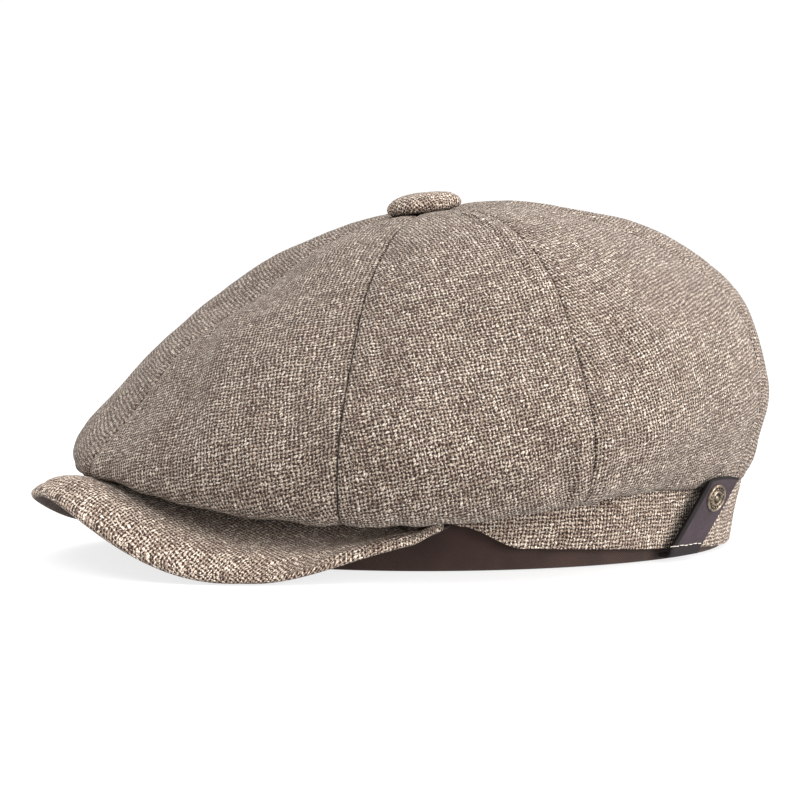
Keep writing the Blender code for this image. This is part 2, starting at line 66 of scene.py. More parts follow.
BAND_HALF_LENGTH = 101 * MM
BAND_HALF_WIDTH = 82 * MM
BUTTON_Y = -16 * MM
APEX_Z = 120.5 * MM
PANEL_PUFF = 2.2 * MM
SEAM_DEGREES = (0, 46, 84, 138, 180, 222, 276, 314, 360)
CROWN_SECTIONS = (
    ((21.5, 116.5), (44, 107), (67.5, 90.5), (93.5, 73.5),
     (113.5, 50.5), (127.5, 35.5), (123, 29.5), (88, 34.5)),
    ((23.5, 117.5), (48.5, 109), (74.5, 93), (97, 70.5),
     (115, 46), (117, 26), (108, 18.5), (84, 27)),
    ((26, 121), (54, 115.5), (81.5, 98.5), (102.5, 73),
     (115.5, 49), (113, 31), (103, 24), (88, 28.5)),
    ((28, 123.5), (56.5, 117.5), (85.5, 105), (113, 85),
     (123, 56), (117, 38.5), (112, 29), (109.5, 25)),
    ((28, 124.5), (57.5, 121.5), (90, 113.5), (116, 92),
     (127, 61.5), (126.5, 38), (126, 29), (122, 25.5)),
)
LINING_SECTIONS = (
    ((22, 114), (44, 104), (66, 90), (84, 70), (90, 48), (79, 37)),
    ((24, 115), (48, 106), (72, 90), (88, 66), (88, 42), (74, 31.5)),
    ((26, 116), (52, 109), (77, 91), (92, 64), (90, 40), (78, 29.5)),
    ((28, 118), (54, 114), (81, 98), (101, 72), (107, 44), (99.5, 28.5)),
    ((28, 119), (56, 117), (86, 103), (107, 80), (117, 50), (112, 29)),
)
REAR_START = math.radians(60)
REAR_SHIFT = 0.35
LINING_DROP = 5 * MM
SETTLE_LIFT = 8 * MM
LINING_TOP_SHARE = 0.42
LINING_SEAM_GAP = 0.003
LINING_THICKNESS = 0.5 * MM

BAND_LOWEST_Z = 1.3 * MM
TEMPLE_ARCH_Z = 15.5 * MM
VISOR_HALF_ANGLE = math.radians(65)
VISOR_DEPTH = 59.5 * MM
VISOR_INSET = 0.6 * MM
VISOR_FRONT_Z = 25 * MM
VISOR_END_Z = 13 * MM
VISOR_TIP_Z = 23.5 * MM
VISOR_LOWEST_Z = 1.9 * MM
VISOR_HALF_THICKNESS = 1.7 * MM


# --- Camera and studio ---

CAMERA_AZIMUTH = math.radians(62)
CAMERA_ELEVATION = math.radians(6.3)
CAMERA_DISTANCE = 0.9
CAMERA_AIM_RIGHT = -24.3 * MM
CAMERA_AIM_UP = 52.8 * MM
CAMERA_LENS = 110.2
CAMERA_SENSOR = 36

LIGHT_COLOUR = (1, 0.985, 0.965)
LIGHT_AIM = Vector((0, 0, 0.06))
SKY_STRENGTH = 1.04
FLOOR_GLOW = 0.78
FLOOR_DROP = 0.3 * MM
FLOOR_HALF_SIZE = 9


def add_object(name, data):
    obj = bpy.data.objects.new(name, data)
    bpy.context.scene.collection.objects.link(obj)
    return obj


def turn_to(obj, aim):
    """Points a camera or a light at a place."""
    obj.rotation_euler = (aim - obj.location).to_track_quat("-Z", "Y").to_euler()


def add_camera():
    back = Vector((
        math.sin(CAMERA_AZIMUTH) * math.cos(CAMERA_ELEVATION),
        -math.cos(CAMERA_AZIMUTH) * math.cos(CAMERA_ELEVATION),
        math.sin(CAMERA_ELEVATION),
    ))
    right = Vector((math.cos(CAMERA_AZIMUTH), math.sin(CAMERA_AZIMUTH), 0))
    head = Vector((0, HEAD_Y, 0))
    data = bpy.data.cameras.new("camera")
    data.lens = CAMERA_LENS
    data.sensor_width = CAMERA_SENSOR
    camera = add_object("camera", data)
    camera.location = head + back * CAMERA_DISTANCE
    turn_to(camera, head + right * CAMERA_AIM_RIGHT + back.cross(right) * CAMERA_AIM_UP)
    bpy.context.scene.camera = camera


add_camera()


def area_light(name, place, size, power):
    data = bpy.data.lights.new(name, "AREA")
    data.shape = "RECTANGLE"
    data.size, data.size_y = size
    data.energy = power
    data.color = LIGHT_COLOUR
    light = add_object(name, data)
    light.location = place
    turn_to(light, LIGHT_AIM)


def add_studio():
    bpy.context.scene.view_settings.view_transform = "Standard"
    world = bpy.data.worlds.new("studio")
    world.use_nodes = True
    sky = world.node_tree.nodes["Background"]
    sky.inputs["Color"].default_value = (1, 1, 1, 1)
    sky.inputs["Strength"].default_value = SKY_STRENGTH
    bpy.context.scene.world = world
    area_light("top_light", (0.15, 0.75, 1.35), (1.2, 1.2), 18)
    area_light("high_front_light", (0.15, -0.7, 1.3), (0.7, 0.7), 9)
    area_light("side_fill", (0.95, 0.65, 0.3), (0.8, 0.5), 15)
    shape = bmesh.new()
    bmesh.ops.create_grid(shape, x_segments=1, y_segments=1, size=FLOOR_HALF_SIZE)
    mesh = bpy.data.meshes.new("floor")
    shape.to_mesh(mesh)
    shape.free()
    floor = add_object("floor", mesh)
    floor.location.z = -FLOOR_DROP
    mesh.materials.append(floor_material())


# --- Node helpers ---


class Value:
    """A shader number that takes plain arithmetic, each step of which is one Math node."""

    def __init__(self, tree, socket):
        self.tree = tree
        self.socket = socket

    def step(self, operation, *others, clamp=False):
        node = self.tree.nodes.new("ShaderNodeMath")
        node.operation = operation
        node.use_clamp = clamp
        for place, value in enumerate((self, *others)):
            if isinstance(value, Value):
                self.tree.links.new(value.socket, node.inputs[place])
            else:
                node.inputs[place].default_value = value
        return Value(self.tree, node.outputs[0])

    def __add__(self, other):
        return self.step("ADD", other)

    def __sub__(self, other):
        return self.step("SUBTRACT", other)

    def __mul__(self, other):
        return self.step("MULTIPLY", other)

    def __rsub__(self, other):
        return (self * -1) + other

    def floor(self):
        return self.step("FLOOR")

    def between(self, low, high, to_low=0.0, to_high=1.0):
        """Smoothly from to_low at low to to_high at high."""
        node = self.tree.nodes.new("ShaderNodeMapRange")
        node.interpolation_type = "SMOOTHSTEP"
        self.tree.links.new(self.socket, node.inputs["Value"])
        for name, value in zip(("From Min", "From Max", "To Min", "To Max"),
                               (low, high, to_low, to_high)):
            node.inputs[name].default_value = value
        return Value(self.tree, node.outputs["Result"])


def new_material(name):
    made = bpy.data.materials.new(name)
    made.use_nodes = True
    return made, made.node_tree, made.node_tree.nodes["Principled BSDF"]


def surface_coordinates(tree):
    node = tree.nodes.new("ShaderNodeUVMap")
    node.uv_map = "cloth"
    split = tree.nodes.new("ShaderNodeSeparateXYZ")
    tree.links.new(node.outputs[0], split.inputs[0])
    return Value(tree, split.outputs[0]), Value(tree, split.outputs[1])


def joined(tree, x, y, z=0.0):
    node = tree.nodes.new("ShaderNodeCombineXYZ")
    for place, value in enumerate((x, y, z)):
        if isinstance(value, Value):
            tree.links.new(value.socket, node.inputs[place])
        else:
            node.inputs[place].default_value = value
    return node.outputs[0]


def noise_at(tree, vector, scale, detail=2.0, roughness=0.5):
    node = tree.nodes.new("ShaderNodeTexNoise")
    node.inputs["Scale"].default_value = scale
    node.inputs["Detail"].default_value = detail
    node.inputs["Roughness"].default_value = roughness
    tree.links.new(vector, node.inputs["Vector"])
    return Value(tree, node.outputs["Fac"])


def noise_on(u, v, scale_u, scale_v, seed=0.0, detail=1.0, roughness=0.5):
    """Noise over a surface's two coordinates, each with its own scale."""
    place = joined(u.tree, u * scale_u, v * scale_v, seed)
    return noise_at(u.tree, place, 1.0, detail, roughness)


def ramp(tree, value, stops):
    node = tree.nodes.new("ShaderNodeValToRGB")
    for place, (position, colour) in enumerate(stops):
        if place < 2:
            element = node.color_ramp.elements[place]
            element.position = position
        else:
            element = node.color_ramp.elements.new(position)
        element.color = (*colour, 1)
    tree.links.new(value.socket, node.inputs[0])
    return node.outputs[0]


def mixed(tree, factor, first, second, blend="MIX"):
    node = tree.nodes.new("ShaderNodeMix")
    node.data_type = "RGBA"
    node.blend_type = blend
    for place, value in ((0, factor), (6, first), (7, second)):
        socket = node.inputs[place]
        if isinstance(value, Value):
            tree.links.new(value.socket, socket)
        elif isinstance(value, bpy.types.NodeSocket):
            tree.links.new(value, socket)
        elif isinstance(value, tuple):
            socket.default_value = (*value, 1)
        else:
            socket.default_value = value
    return node.outputs[2]


def wave(value, length):
    """A sine along the value, once every length."""
    return (value * (math.tau / length)).step("SINE")


def paint(tree, shader, colour, roughness, height, depth, even=None):
    """Links the colour and a bump. What is even all over is set on the shader's own socket."""
    tree.links.new(colour, shader.inputs["Base Color"])
    if isinstance(roughness, Value):
        tree.links.new(roughness.socket, shader.inputs["Roughness"])
    else:
        shader.inputs["Roughness"].default_value = roughness
    for name, value in (even or {}).items():
        shader.inputs[name].default_value = value
    node = tree.nodes.new("ShaderNodeBump")
    node.inputs["Distance"].default_value = depth
    node.inputs["Strength"].default_value = 1.0
    tree.links.new(height.socket, node.inputs["Height"])
    tree.links.new(node.outputs[0], shader.inputs["Normal"])


# --- Materials ---

THREAD_PITCH = 1.34 * MM
THREAD_HALF_WIDTHS = (0.25, 0.4)
THREAD_ROUND = 0.8
THREAD_WAVE = 0.34
LINEN_DARK = (0.108, 0.054, 0.037)
LINEN_MIDDLE = (0.37, 0.28, 0.21)
LINEN_LIGHT = (0.95, 0.83, 0.695)
# The colour of painted shade on the linen: in the gaps of the weave, along seams, in creases and on
# undersides.
LINEN_SHADE = (0.026, 0.01, 0.006)
# Black of the dyed cut edges, also used for painted shade on the strap's left edge and foot.
EDGE_DYE_AND_SHADE = (0.008, 0.006, 0.006)
BLACK_PATINA = (0.012, 0.009, 0.008)
RECESS_EDGE = 0.1


def floor_material():
    """A white table with a faint glow, which keeps the shadows on it pale."""
    made, _, shader = new_material("pale_floor")
    shader.inputs["Base Color"].default_value = (0.24, 0.24, 0.24, 1)
    shader.inputs["Emission Color"].default_value = (1, 1, 1, 1)
    shader.inputs["Emission Strength"].default_value = FLOOR_GLOW
    shader.inputs["Roughness"].default_value = 0.9
    shader.inputs["Specular IOR Level"].default_value = 0.1
    return made


def linen_material(name, painted_light_factor, angle=0.0):
    """A plain weave of slubby two-tone threads: each thread keeps its own tone for a while. The gaps
    between threads and the grooves between plies are drawn dark as painted shade, and the thread
    crowns lighter as painted highlight.
    """
    made, tree, shader = new_material(name)
    u, v = surface_coordinates(tree)
    turn_cos, turn_sin = math.cos(angle) / THREAD_PITCH, math.sin(angle) / THREAD_PITCH
    x0 = u * turn_cos - v * turn_sin
    y0 = u * turn_sin + v * turn_cos

    def drift(seed):
        """How far the threads stray from a straight grid, in threads."""
        wide = noise_on(x0, y0, 0.11, 0.11, seed, 2.0, 0.6)
        close = noise_on(x0, y0, 0.55, 0.55, seed + 2)
        return (wide - 0.5) * 1.6 + (close - 0.5) * 0.95

    x, y = x0 + drift(0.0), y0 + drift(7.3)
    column, row = x.floor(), y.floor()
    column_sign = column.step("FLOORED_MODULO", 2.0) * -2 + 1
    row_sign = row.step("FLOORED_MODULO", 2.0) * -2 + 1
    warp_wave = (y * math.pi).step("SINE") * column_sign
    weft_wave = (x * math.pi).step("SINE") * row_sign * -1

    def thread(across, along, index, seed):
        """One thread's height, tone and ply. Its thickness and tone drift along it."""
        thick = noise_on(index, along, 3.7, 0.3, seed)
        width = thick.between(0.3, 0.7, *THREAD_HALF_WIDTHS)
        place = (across - index - 0.5).step("DIVIDE", width)
        round_top = (1 - place * place).step("MAXIMUM", 0.0).step("SQRT")
        slow = noise_on(index, along, 2.3, 0.13, seed + 20)
        quick = noise_on(index, along, 5.1, 0.45, seed + 40)
        ply = ((along * 1.5 + place * 0.32 + index * 0.37) * math.tau).step("SINE")
        return round_top, slow * 0.25 + quick * 0.75, ply

    warp_round, warp_tone, warp_ply = thread(x, y, column, 1.0)
    weft_round, weft_tone, weft_ply = thread(y, x, row, 11.0)
    warp_top = warp_round * THREAD_ROUND + warp_wave * THREAD_WAVE
    weft_top = weft_round * THREAD_ROUND + weft_wave * THREAD_WAVE
    on_warp = (warp_top - weft_top).between(-0.05, 0.05)
    height = warp_top.step("MAXIMUM", weft_top)
    tone = warp_tone * on_warp + weft_tone * (1 - on_warp)
    streak_u = noise_on(x0, y0, 0.035, 0.16, 3.0, 2.0, 0.6)
    streak_v = noise_on(x0, y0, 0.16, 0.035, 9.0, 2.0, 0.6)
    tone = tone + (streak_u + streak_v - 1.0) * 0.13
    ply = warp_ply * on_warp + weft_ply * (1 - on_warp)
    colour = ramp(tree, tone, ((0.34, LINEN_DARK), (0.64, LINEN_LIGHT), (0.49, LINEN_MIDDLE)))
    fibre = noise_on(x0, y0, 5, 5, 2.0, 2.0)
    colour = mixed(tree, fibre.between(0.4, 0.75, 0.0, 0.3), colour, LINEN_LIGHT)
    fleck = noise_on(x0, y0, 2.4, 2.4, 5.0)
    colour = mixed(tree, fleck.between(0.34, 0.5, 0.8, 0.0), colour, LINEN_DARK)
    colour = mixed(tree, fleck.between(0.53, 0.65, 0.0, 0.75), colour, LINEN_LIGHT)
    # Painted shade in the grooves between the plies.
    colour = mixed(tree, ply.between(-1.0, 0.6, 0.5, 0.0), colour, LINEN_DARK)
    # Painted shade in the gaps between threads, painted highlight on the thread crowns.
    colour = mixed(tree, height.between(0.47, 0.9), LINEN_SHADE, colour)
    # Painted shade from the shade attribute: seam lines, the crease above the band, the visor's
    # underside and the button's rim.
    shade = tree.nodes.new("ShaderNodeAttribute")
    shade.attribute_name = "shade"
    dim = Value(tree, shade.outputs["Fac"])
    colour = mixed(tree, dim.between(0.0, 1.0), colour, LINEN_SHADE)
    # Painted light: the whole colour is scaled by a factor per copy, for the light its piece gets.
    colour = mixed(tree, 1.0, colour, (painted_light_factor, painted_light_factor, painted_light_factor), "MULTIPLY")
    paint(tree, shader, colour, 0.9, height + fibre * 0.3 + ply * 0.12, 0.55 * MM,
          {"Specular IOR Level": 0.2, "Sheen Weight": 0.1, "Sheen Roughness": 0.6})
    return made


def twill_material():
    """Fine brown cotton twill with slanting ribs."""
    made, tree, shader = new_material("brown_twill")
    u, v = surface_coordinates(tree)
    rib = wave(u + v, 0.9 * MM)
    grain = noise_on(u, v, 2600, 2600, detail=3.0)
    patches = noise_on(u, v, 60, 60, detail=3.0)
    colour = ramp(tree, patches * 0.6 + grain * 0.4, (
        (0.35, (0.024, 0.0125, 0.0098)), (0.65, (0.047, 0.0255, 0.02))
    ))
    paint(tree, shader, colour, 0.85, rib * 0.5 + grain, 0.12 * MM,
          {"Specular IOR Level": 0.2, "Sheen Weight": 0.15})
    return made


def satin_material():
    """Lining satin: close lines along the cloth, and slow patches."""
    made, tree, shader = new_material("lining_satin")
    u, v = surface_coordinates(tree)
    lines = noise_on(u, v, 900, 6000, detail=2.0)
    patches = noise_on(u, v, 30, 30, detail=3.0)
    colour = ramp(tree, patches * 0.7 + lines * 0.3, (
        (0.3, (0.035, 0.023, 0.02)), (0.7, (0.06, 0.042, 0.036))
    ))
    paint(tree, shader, colour, 0.42, lines, 0.05 * MM, {"Sheen Weight": 0.3})
    return made


def elastic_material():
    """Black webbing: ribs along the elastic and a finer knit across it."""
    made, tree, shader = new_material("elastic_webbing")
    u, v = surface_coordinates(tree)
    rib = wave(u, 1.4 * MM)
    knit = wave(v, 0.8 * MM)
    grain = noise_on(u, v, 1500, 1500, detail=2.0)
    colour = ramp(tree, grain + rib * 0.1, (
        (0.3, (0.012, 0.011, 0.011)), (0.7, (0.034, 0.031, 0.03))
    ))
    paint(tree, shader, colour, 0.8, rib * 0.6 + knit * 0.25 + grain * 0.3, 0.3 * MM)
    return made


def leather_material():
    """Smooth dark strap leather: fine pores, worn patches and blackened cut edges. The left edge is
    drawn wide and black, partly the dyed cut edge and partly painted shadow of the gap beside the
    band, and the foot below the stitches is darkened as painted shade.
    """
    made, tree, shader = new_material("tab_leather")
    across, along = surface_coordinates(tree)
    place = tree.nodes.new("ShaderNodeTexCoord").outputs["Object"]
    pores = tree.nodes.new("ShaderNodeTexVoronoi")
    pores.inputs["Scale"].default_value = 2600
    tree.links.new(place, pores.inputs["Vector"])
    cells = Value(tree, pores.outputs["Distance"])
    grain = noise_at(tree, place, 900, 4.0, 0.6)
    worn = noise_at(tree, place, 120, 3.0)
    colour = ramp(tree, worn * 0.6 + grain * 0.4, (
        (0.36, (0.029, 0.0195, 0.0238)), (0.66, (0.053, 0.0385, 0.0455))
    ))
    # Dyed cut edges, drawn much wider on the left as painted shadow of the gap beside the band.
    edge = (across.step("ABSOLUTE") - across * 0.16).between(0.41, 0.47)
    top = along.between(TAB_HEIGHT - 0.9 * MM, TAB_HEIGHT - 0.4 * MM)
    # Painted shade on the foot of the strap below the stitches.
    foot_shade = along.between(2.2 * MM, 2.7 * MM, 0.75, 0.0)
    edge_dye_and_shade = edge.step("MAXIMUM", top).step("MAXIMUM", foot_shade)
    colour = mixed(tree, edge_dye_and_shade, colour, EDGE_DYE_AND_SHADE)
    paint(tree, shader, colour, worn.between(0.3, 0.7, 0.6, 0.75), cells * 0.5 + grain * 0.7,
          0.08 * MM, {"Specular IOR Level": 0.18})
    return made


def label_material():
    """Fine damask: close warp lines on a pale ground."""
    made, tree, shader = new_material("label_weave")
    u, v = surface_coordinates(tree)
    lines = wave(u, 0.35 * MM)
    rows = wave(v, 0.5 * MM)
    grain = noise_on(u, v, 2500, 2500, detail=2.0)
    colour = ramp(tree, grain * 0.8 + lines * 0.05 + 0.1, (
        (0.3, (0.42, 0.38, 0.33)), (0.7, (0.62, 0.58, 0.51))
    ))
    paint(tree, shader, colour, 0.75, lines * 0.5 + rows * 0.5 + grain, 0.06 * MM)
    return made


def metal_material(name, bright, dark, scale=700, recesses=()):
    """Antiqued metal: bright where it is rubbed, dark where the patina stays.

    Each recess is a pair of radii, in mm, that the patina has blackened.
    """
    made, tree, shader = new_material(name)
    place = tree.nodes.new("ShaderNodeTexCoord").outputs["Object"]
    patina = noise_at(tree, place, scale, 4.0, 0.65)
    fine = noise_at(tree, place, scale * 5, 2.0)
    colour = ramp(tree, patina * 0.7 + fine * 0.3, ((0.38, dark), (0.62, bright)))
    radius, _ = surface_coordinates(tree)
    for inner, outer in recesses:
        past = radius.between((inner - RECESS_EDGE) * MM, (inner + RECESS_EDGE) * MM)
        before = radius.between((outer - RECESS_EDGE) * MM, (outer + RECESS_EDGE) * MM, 1.0, 0.0)
        colour = mixed(tree, past * before * 0.85, colour, BLACK_PATINA)
    paint(tree, shader, colour, patina.between(0.3, 0.7, 0.5, 0.3), patina + fine * 0.4,
          0.05 * MM, {"Metallic": 1.0})
    return made


def thread_material(name, colour):
    made, tree, shader = new_material(name)
    place = tree.nodes.new("ShaderNodeTexCoord").outputs["Object"]
    strands = noise_at(tree, place, 3500, 2.0)
    shades = ramp(tree, strands, ((0.3, tuple(0.6 * c for c in colour)), (0.7, colour)))
    paint(tree, shader, shades, 0.7, strands, 0.1 * MM)
    return made


def plastic_material():
    made, tree, shader = new_material("visor_plastic")
    place = tree.nodes.new("ShaderNodeTexCoord").outputs["Object"]
    frost = noise_at(tree, place, 400, 3.0)
    colour = ramp(tree, frost, ((0.3, (0.68, 0.68, 0.66)), (0.7, (0.8, 0.8, 0.77))))
    paint(tree, shader, colour, 0.45, frost, 0.05 * MM)
    return made


# --- The cap's surfaces, as the CAD lays them out ---


def catmull(points, place):
    """A Catmull-Rom curve through points[:, k], read at place from 0 to the last index."""
    padded = np.concatenate([2 * points[:1] - points[1:2], points, 2 * points[-1:] - points[-2:-1]])
    index = np.clip(place.astype(int), 0, len(points) - 2)
    u = (place - index)[..., None]
    p0, p1, p2, p3 = (padded[index + k] for k in range(4))
    return blend_four(p0, p1, p2, p3, u)


def blend_four(p0, p1, p2, p3, u):
    bend = 2 * p0 - 5 * p1 + 4 * p2 - p3
    twist = 3 * p1 - p0 - 3 * p2 + p3
    return 0.5 * (2 * p1 + (p2 - p0) * u + bend * u * u + twist * u**3)


def smooth_step(low, high, value):
    u = np.clip((value - low) / (high - low), 0, 1)
    return u * u * (3 - 2 * u)


def ellipse(azimuth):
    return np.stack(
        [BAND_HALF_WIDTH * np.sin(azimuth), -BAND_HALF_LENGTH * np.cos(azimuth)], -1
    )


def ellipse_normal(azimuth):
    out = np.stack([np.sin(azimuth) / BAND_HALF_WIDTH, -np.cos(azimuth) / BAND_HALF_LENGTH], -1)
    return out / np.linalg.norm(out, axis=-1, keepdims=True)


def rim_distance(azimuth):
    return np.linalg.norm(ellipse(azimuth) - np.array((0, BUTTON_Y)), axis=-1)


def section(sections, apex, azimuth, share):
    """Reach and height of a dome, blended between its five sections."""
    azimuth, share = np.broadcast_arrays(np.asarray(azimuth, float), np.asarray(share, float))
    rows = []
    for key, points in enumerate(sections):
        curve = np.array(((0, apex / MM),) + points, float)
        row = catmull(curve, np.clip(share, 0, 1) * (len(curve) - 1)) * MM
        row[..., 0] /= rim_distance(np.array(key * math.pi / 4))
        rows.append(row)
    rows = np.array(rows)
    turn = np.abs(np.remainder(azimuth + math.pi, math.tau) - math.pi)
    ahead = np.maximum(turn - REAR_START, 0) / (math.pi - REAR_START)
    place = turn / (math.pi / 4) + REAR_SHIFT * np.sin(math.pi * ahead) ** 2
    index = np.clip(place.astype(int), 0, 3)
    near = []
    for offset in (-1, 0, 1, 2):
        key = np.abs(index + offset)
        key = np.where(key > 4, 8 - key, key)
        near.append(np.take_along_axis(rows, key[None, ..., None], 0)[0])
    found = blend_four(*near, (place - index)[..., None])
    return found[..., 0] * rim_distance(azimuth), found[..., 1]


def settled(place):
    """Lifts the front right outside the band. The places are in the head frame."""
    x, y, z = place[..., 0], place[..., 1], place[..., 2]
    outside = np.hypot(x / BAND_HALF_WIDTH, y / BAND_HALF_LENGTH) - 1
    lift = SETTLE_LIFT * smooth_step(5 * MM, 60 * MM, -x)
    lift = lift * smooth_step(20 * MM, 90 * MM, -y) * smooth_step(0, 0.28, outside)
    lift = lift * (1 - smooth_step(28 * MM, 62 * MM, z))
    return place + lift[..., None] * np.array((0, 0, 1)) + np.array((0, HEAD_Y, 0))


def dome(sections, apex, azimuth, share):
    reach, height = section(sections, apex, azimuth, share)
    azimuth = np.broadcast_to(azimuth, reach.shape)
    rim = rim_distance(azimuth)
    button = np.array((0, BUTTON_Y))
    inner = np.minimum(reach / rim, 1)[..., None]
    place = button + (ellipse(azimuth) - button) * inner
    place = place + ellipse_normal(azimuth) * np.maximum(reach - rim, 0)[..., None]
    return settled(np.concatenate([place, height[..., None]], -1))


def dome_normal(sections, apex, azimuth, share):
    step = 0.004
    low, high = np.maximum(share - step, 0.001), np.minimum(share + step, 1.0)
    down = dome(sections, apex, azimuth, high) - dome(sections, apex, azimuth, low)
    around = dome(sections, apex, azimuth + step, share) - dome(
        sections, apex, azimuth - step, share
    )
    out = np.cross(down, around)
    return out / np.linalg.norm(out, axis=-1, keepdims=True)


def hem_height(azimuth):
    return section(CROWN_SECTIONS, APEX_Z, azimuth, 1.0)[1]


def band_bottom(azimuth):
    turn = np.abs(np.remainder(azimuth + math.pi, math.tau) - math.pi)
    front = visor_root_z(np.minimum(turn / VISOR_HALF_ANGLE, 1)) + 2.7 * MM
    after = np.degrees(turn - VISOR_HALF_ANGLE)
    steep = 0.55 * (1 - smooth_step(0, 13, after))
    gentle = 0.45 * (1 - smooth_step(0, 85, after))
    behind = BAND_LOWEST_Z + (TEMPLE_ARCH_Z - BAND_LOWEST_Z) * (steep + gentle)
    return np.where(turn <= VISOR_HALF_ANGLE, front, behind)


def band_flare(azimuth):
    return section(CROWN_SECTIONS, APEX_Z, azimuth, 1.0)[0] - rim_distance(azimuth)


def band_point(azimuth, height):
    out = band_flare(azimuth) * height / hem_height(azimuth)
    place = ellipse(azimuth) + ellipse_normal(azimuth) * out[..., None]
    return np.concatenate([place + np.array((0, HEAD_Y)), height[..., None]], -1)


def visor_root_z(across):
    return VISOR_END_Z + (VISOR_FRONT_Z - VISOR_END_Z) * (1 - np.abs(across) ** 2.2)


def visor_depth(across):
    return VISOR_DEPTH * (1 - np.abs(across) ** 2.5) ** 0.62 + VISOR_INSET


def visor_point(across, out):
    across, out = np.broadcast_arrays(across, out)
    azimuth = across * VISOR_HALF_ANGLE
    side = np.abs(across)
    forward = ellipse_normal(azimuth) * 0.5 + np.array((0, -0.5))
    forward = forward / np.linalg.norm(forward, axis=-1, keepdims=True)
    root = ellipse(azimuth) - ellipse_normal(azimuth) * VISOR_INSET
    tuck = 0.09 * smooth_step(0, 0.5, -across) * (1 - smooth_step(0.75, 1, side))
    place = root + forward * (visor_depth(across) * (1 - tuck) * out)[..., None]
    edge_z = VISOR_TIP_Z * (1 - smooth_step(0, 0.6, side)) + VISOR_LOWEST_Z
    edge_z = edge_z + (VISOR_END_Z - VISOR_LOWEST_Z) * smooth_step(0.66, 1.0, side)
    root_z = visor_root_z(across)
    arch = 3.5 * MM * np.sin(math.pi * out**4) * (1 - side**3)
    height = root_z + (edge_z - root_z) * out + arch
    return settled(np.concatenate([place, height[..., None]], -1))


def visor_normal(across, out):
    step = 0.01
    sideways = visor_point(across + step, out) - visor_point(across - step, out)
    low, high = np.maximum(out - step, 0), np.minimum(out + step, 1)
    forward = visor_point(across, high) - visor_point(across, low)
    up = np.cross(forward, sideways)
    return up / np.linalg.norm(up, axis=-1, keepdims=True)


# --- Mesh helpers ---


def wrinkle(points, scale, seed):
    """Smooth noise from -1 to 1 at each point, the same on every run."""
    flat = points.reshape(-1, 3) * (1 / scale) + seed * 17.3
    return np.array([noise.noise(Vector(p)) for p in flat]).reshape(points.shape[:-1])


def grid_piece(name, points, cloth, material, closed=False):
    """A grid of points as quads, with its place on the flat cloth in metres as its UV."""
    rows, columns = points.shape[:2]
    mesh = bpy.data.meshes.new(name)
    index = np.arange(rows * columns).reshape(rows, columns)
    if closed:
        index = np.concatenate([index, index[:, :1]], 1)
    quads = np.stack([index[:-1, :-1], index[1:, :-1], index[1:, 1:], index[:-1, 1:]], -1)
    mesh.from_pydata(points.reshape(-1, 3).tolist(), [], quads.reshape(-1, 4).tolist())
    width = cloth.shape[1]
    corner = np.arange(rows * width).reshape(rows, width)
    corners = np.stack([corner[:-1, :-1], corner[1:, :-1], corner[1:, 1:], corner[:-1, 1:]], -1)
    layer = mesh.uv_layers.new(name="cloth")
    layer.data.foreach_set("uv", cloth.reshape(-1, 2)[corners.reshape(-1)].ravel().astype("f"))
    mesh.shade_smooth()
    mesh.materials.append(material)
    return add_object(name, mesh)


def set_painted_shade(obj, values):
    """Painted shade: how far the cloth's colour is darkened, from 0 to 1 at each point."""
    layer = obj.data.attributes.new("shade", "FLOAT", "POINT")
    layer.data.foreach_set("value", np.ascontiguousarray(values, "f").ravel())


def thicken(obj, thickness, offset=-1.0):
    solid = obj.modifiers.new("thickness", "SOLIDIFY")
    solid.thickness = thickness
    solid.offset = offset
    solid.use_even_offset = True
    apply_modifiers(obj)


def soft_shell(obj, thickness, offset, edge):
    """Thick all through, with rounded edges."""
    solid = obj.modifiers.new("thickness", "SOLIDIFY")
    solid.thickness = thickness
    solid.offset = offset
    soft = obj.modifiers.new("soft edge", "BEVEL")
    soft.width = edge
    soft.segments = 3
    soft.limit_method = "ANGLE"
    apply_modifiers(obj)
    obj.data.shade_smooth()


def apply_modifiers(obj):
    graph = bpy.context.evaluated_depsgraph_get()
    mesh = bpy.data.meshes.new_from_object(obj.evaluated_get(graph))
    obj.modifiers.clear()
    old = obj.data
    obj.data = mesh
    bpy.data.meshes.remove(old)


def dress(piece, slot, *nodes):
    """The piece rides with the cap and stands for these CAD nodes."""
    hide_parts(*nodes)
    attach(piece, "cap")


def run_along(points, axis):
    """Arc length from the start of each line of points."""
    steps = np.linalg.norm(np.diff(points, axis=axis), axis=-1)
    pad = [(0, 0), (0, 0)]
    pad[axis] = (1, 0)
    return np.pad(np.cumsum(steps, axis=axis), pad)


def flat_area(points):
    across = points[1:, :-1] - points[:-1, :-1]
    down = points[:-1, 1:] - points[:-1, :-1]
    return float(np.linalg.norm(np.cross(across, down), axis=-1).sum())


def declare_sheet(points):
    """Works out its flat size, the longest run of cloth each way, and its cut, the area that it
    covers; nothing keeps them.
    """
    width = float(run_along(points, 1)[:, -1].max())
    length = float(run_along(points, 0)[-1].max())
    area = min(flat_area(points), width * length)


# --- Crown ---

CROWN_THICKNESS = 1.1 * MM
PANEL_GRID = (61, 130)
SEAM_RADIUS = 1.3 * MM
ALLOWANCE = 6.6 * MM
FIRST_SHARE = 0.021
PANEL_NAMES = (
    "front_left", "side_front_left", "side_back_left", "back_left",
    "back_right", "side_back_right", "side_front_right", "front_right",
)
# Seam by seam, how far the allowance pressed open inside stands up before and after it (mm).
ALLOWANCE_HEIGHTS = (
    (0.35, 0.35), (0.1, 0.6), (0.85, 0.75), (0.4, 0.4), (0.35, 0.35), (0.4, 0.4), (0.5, 0.6),
    (0.45, 0.25), (0.35, 0.35),
)
# Seam by seam, how dark the painted shade along its line is, which also sets how deep its groove is,
# and panel by panel, how far the grain turns from its middle.
SEAM_SHADES = (0.35, 0.8, 0.2, 0.4, 0.5, 0.4, 0.4, 0.4, 0.35)
GRAIN_DEGREES = (20, 12, 6, -8, 10, -6, 8, -12)
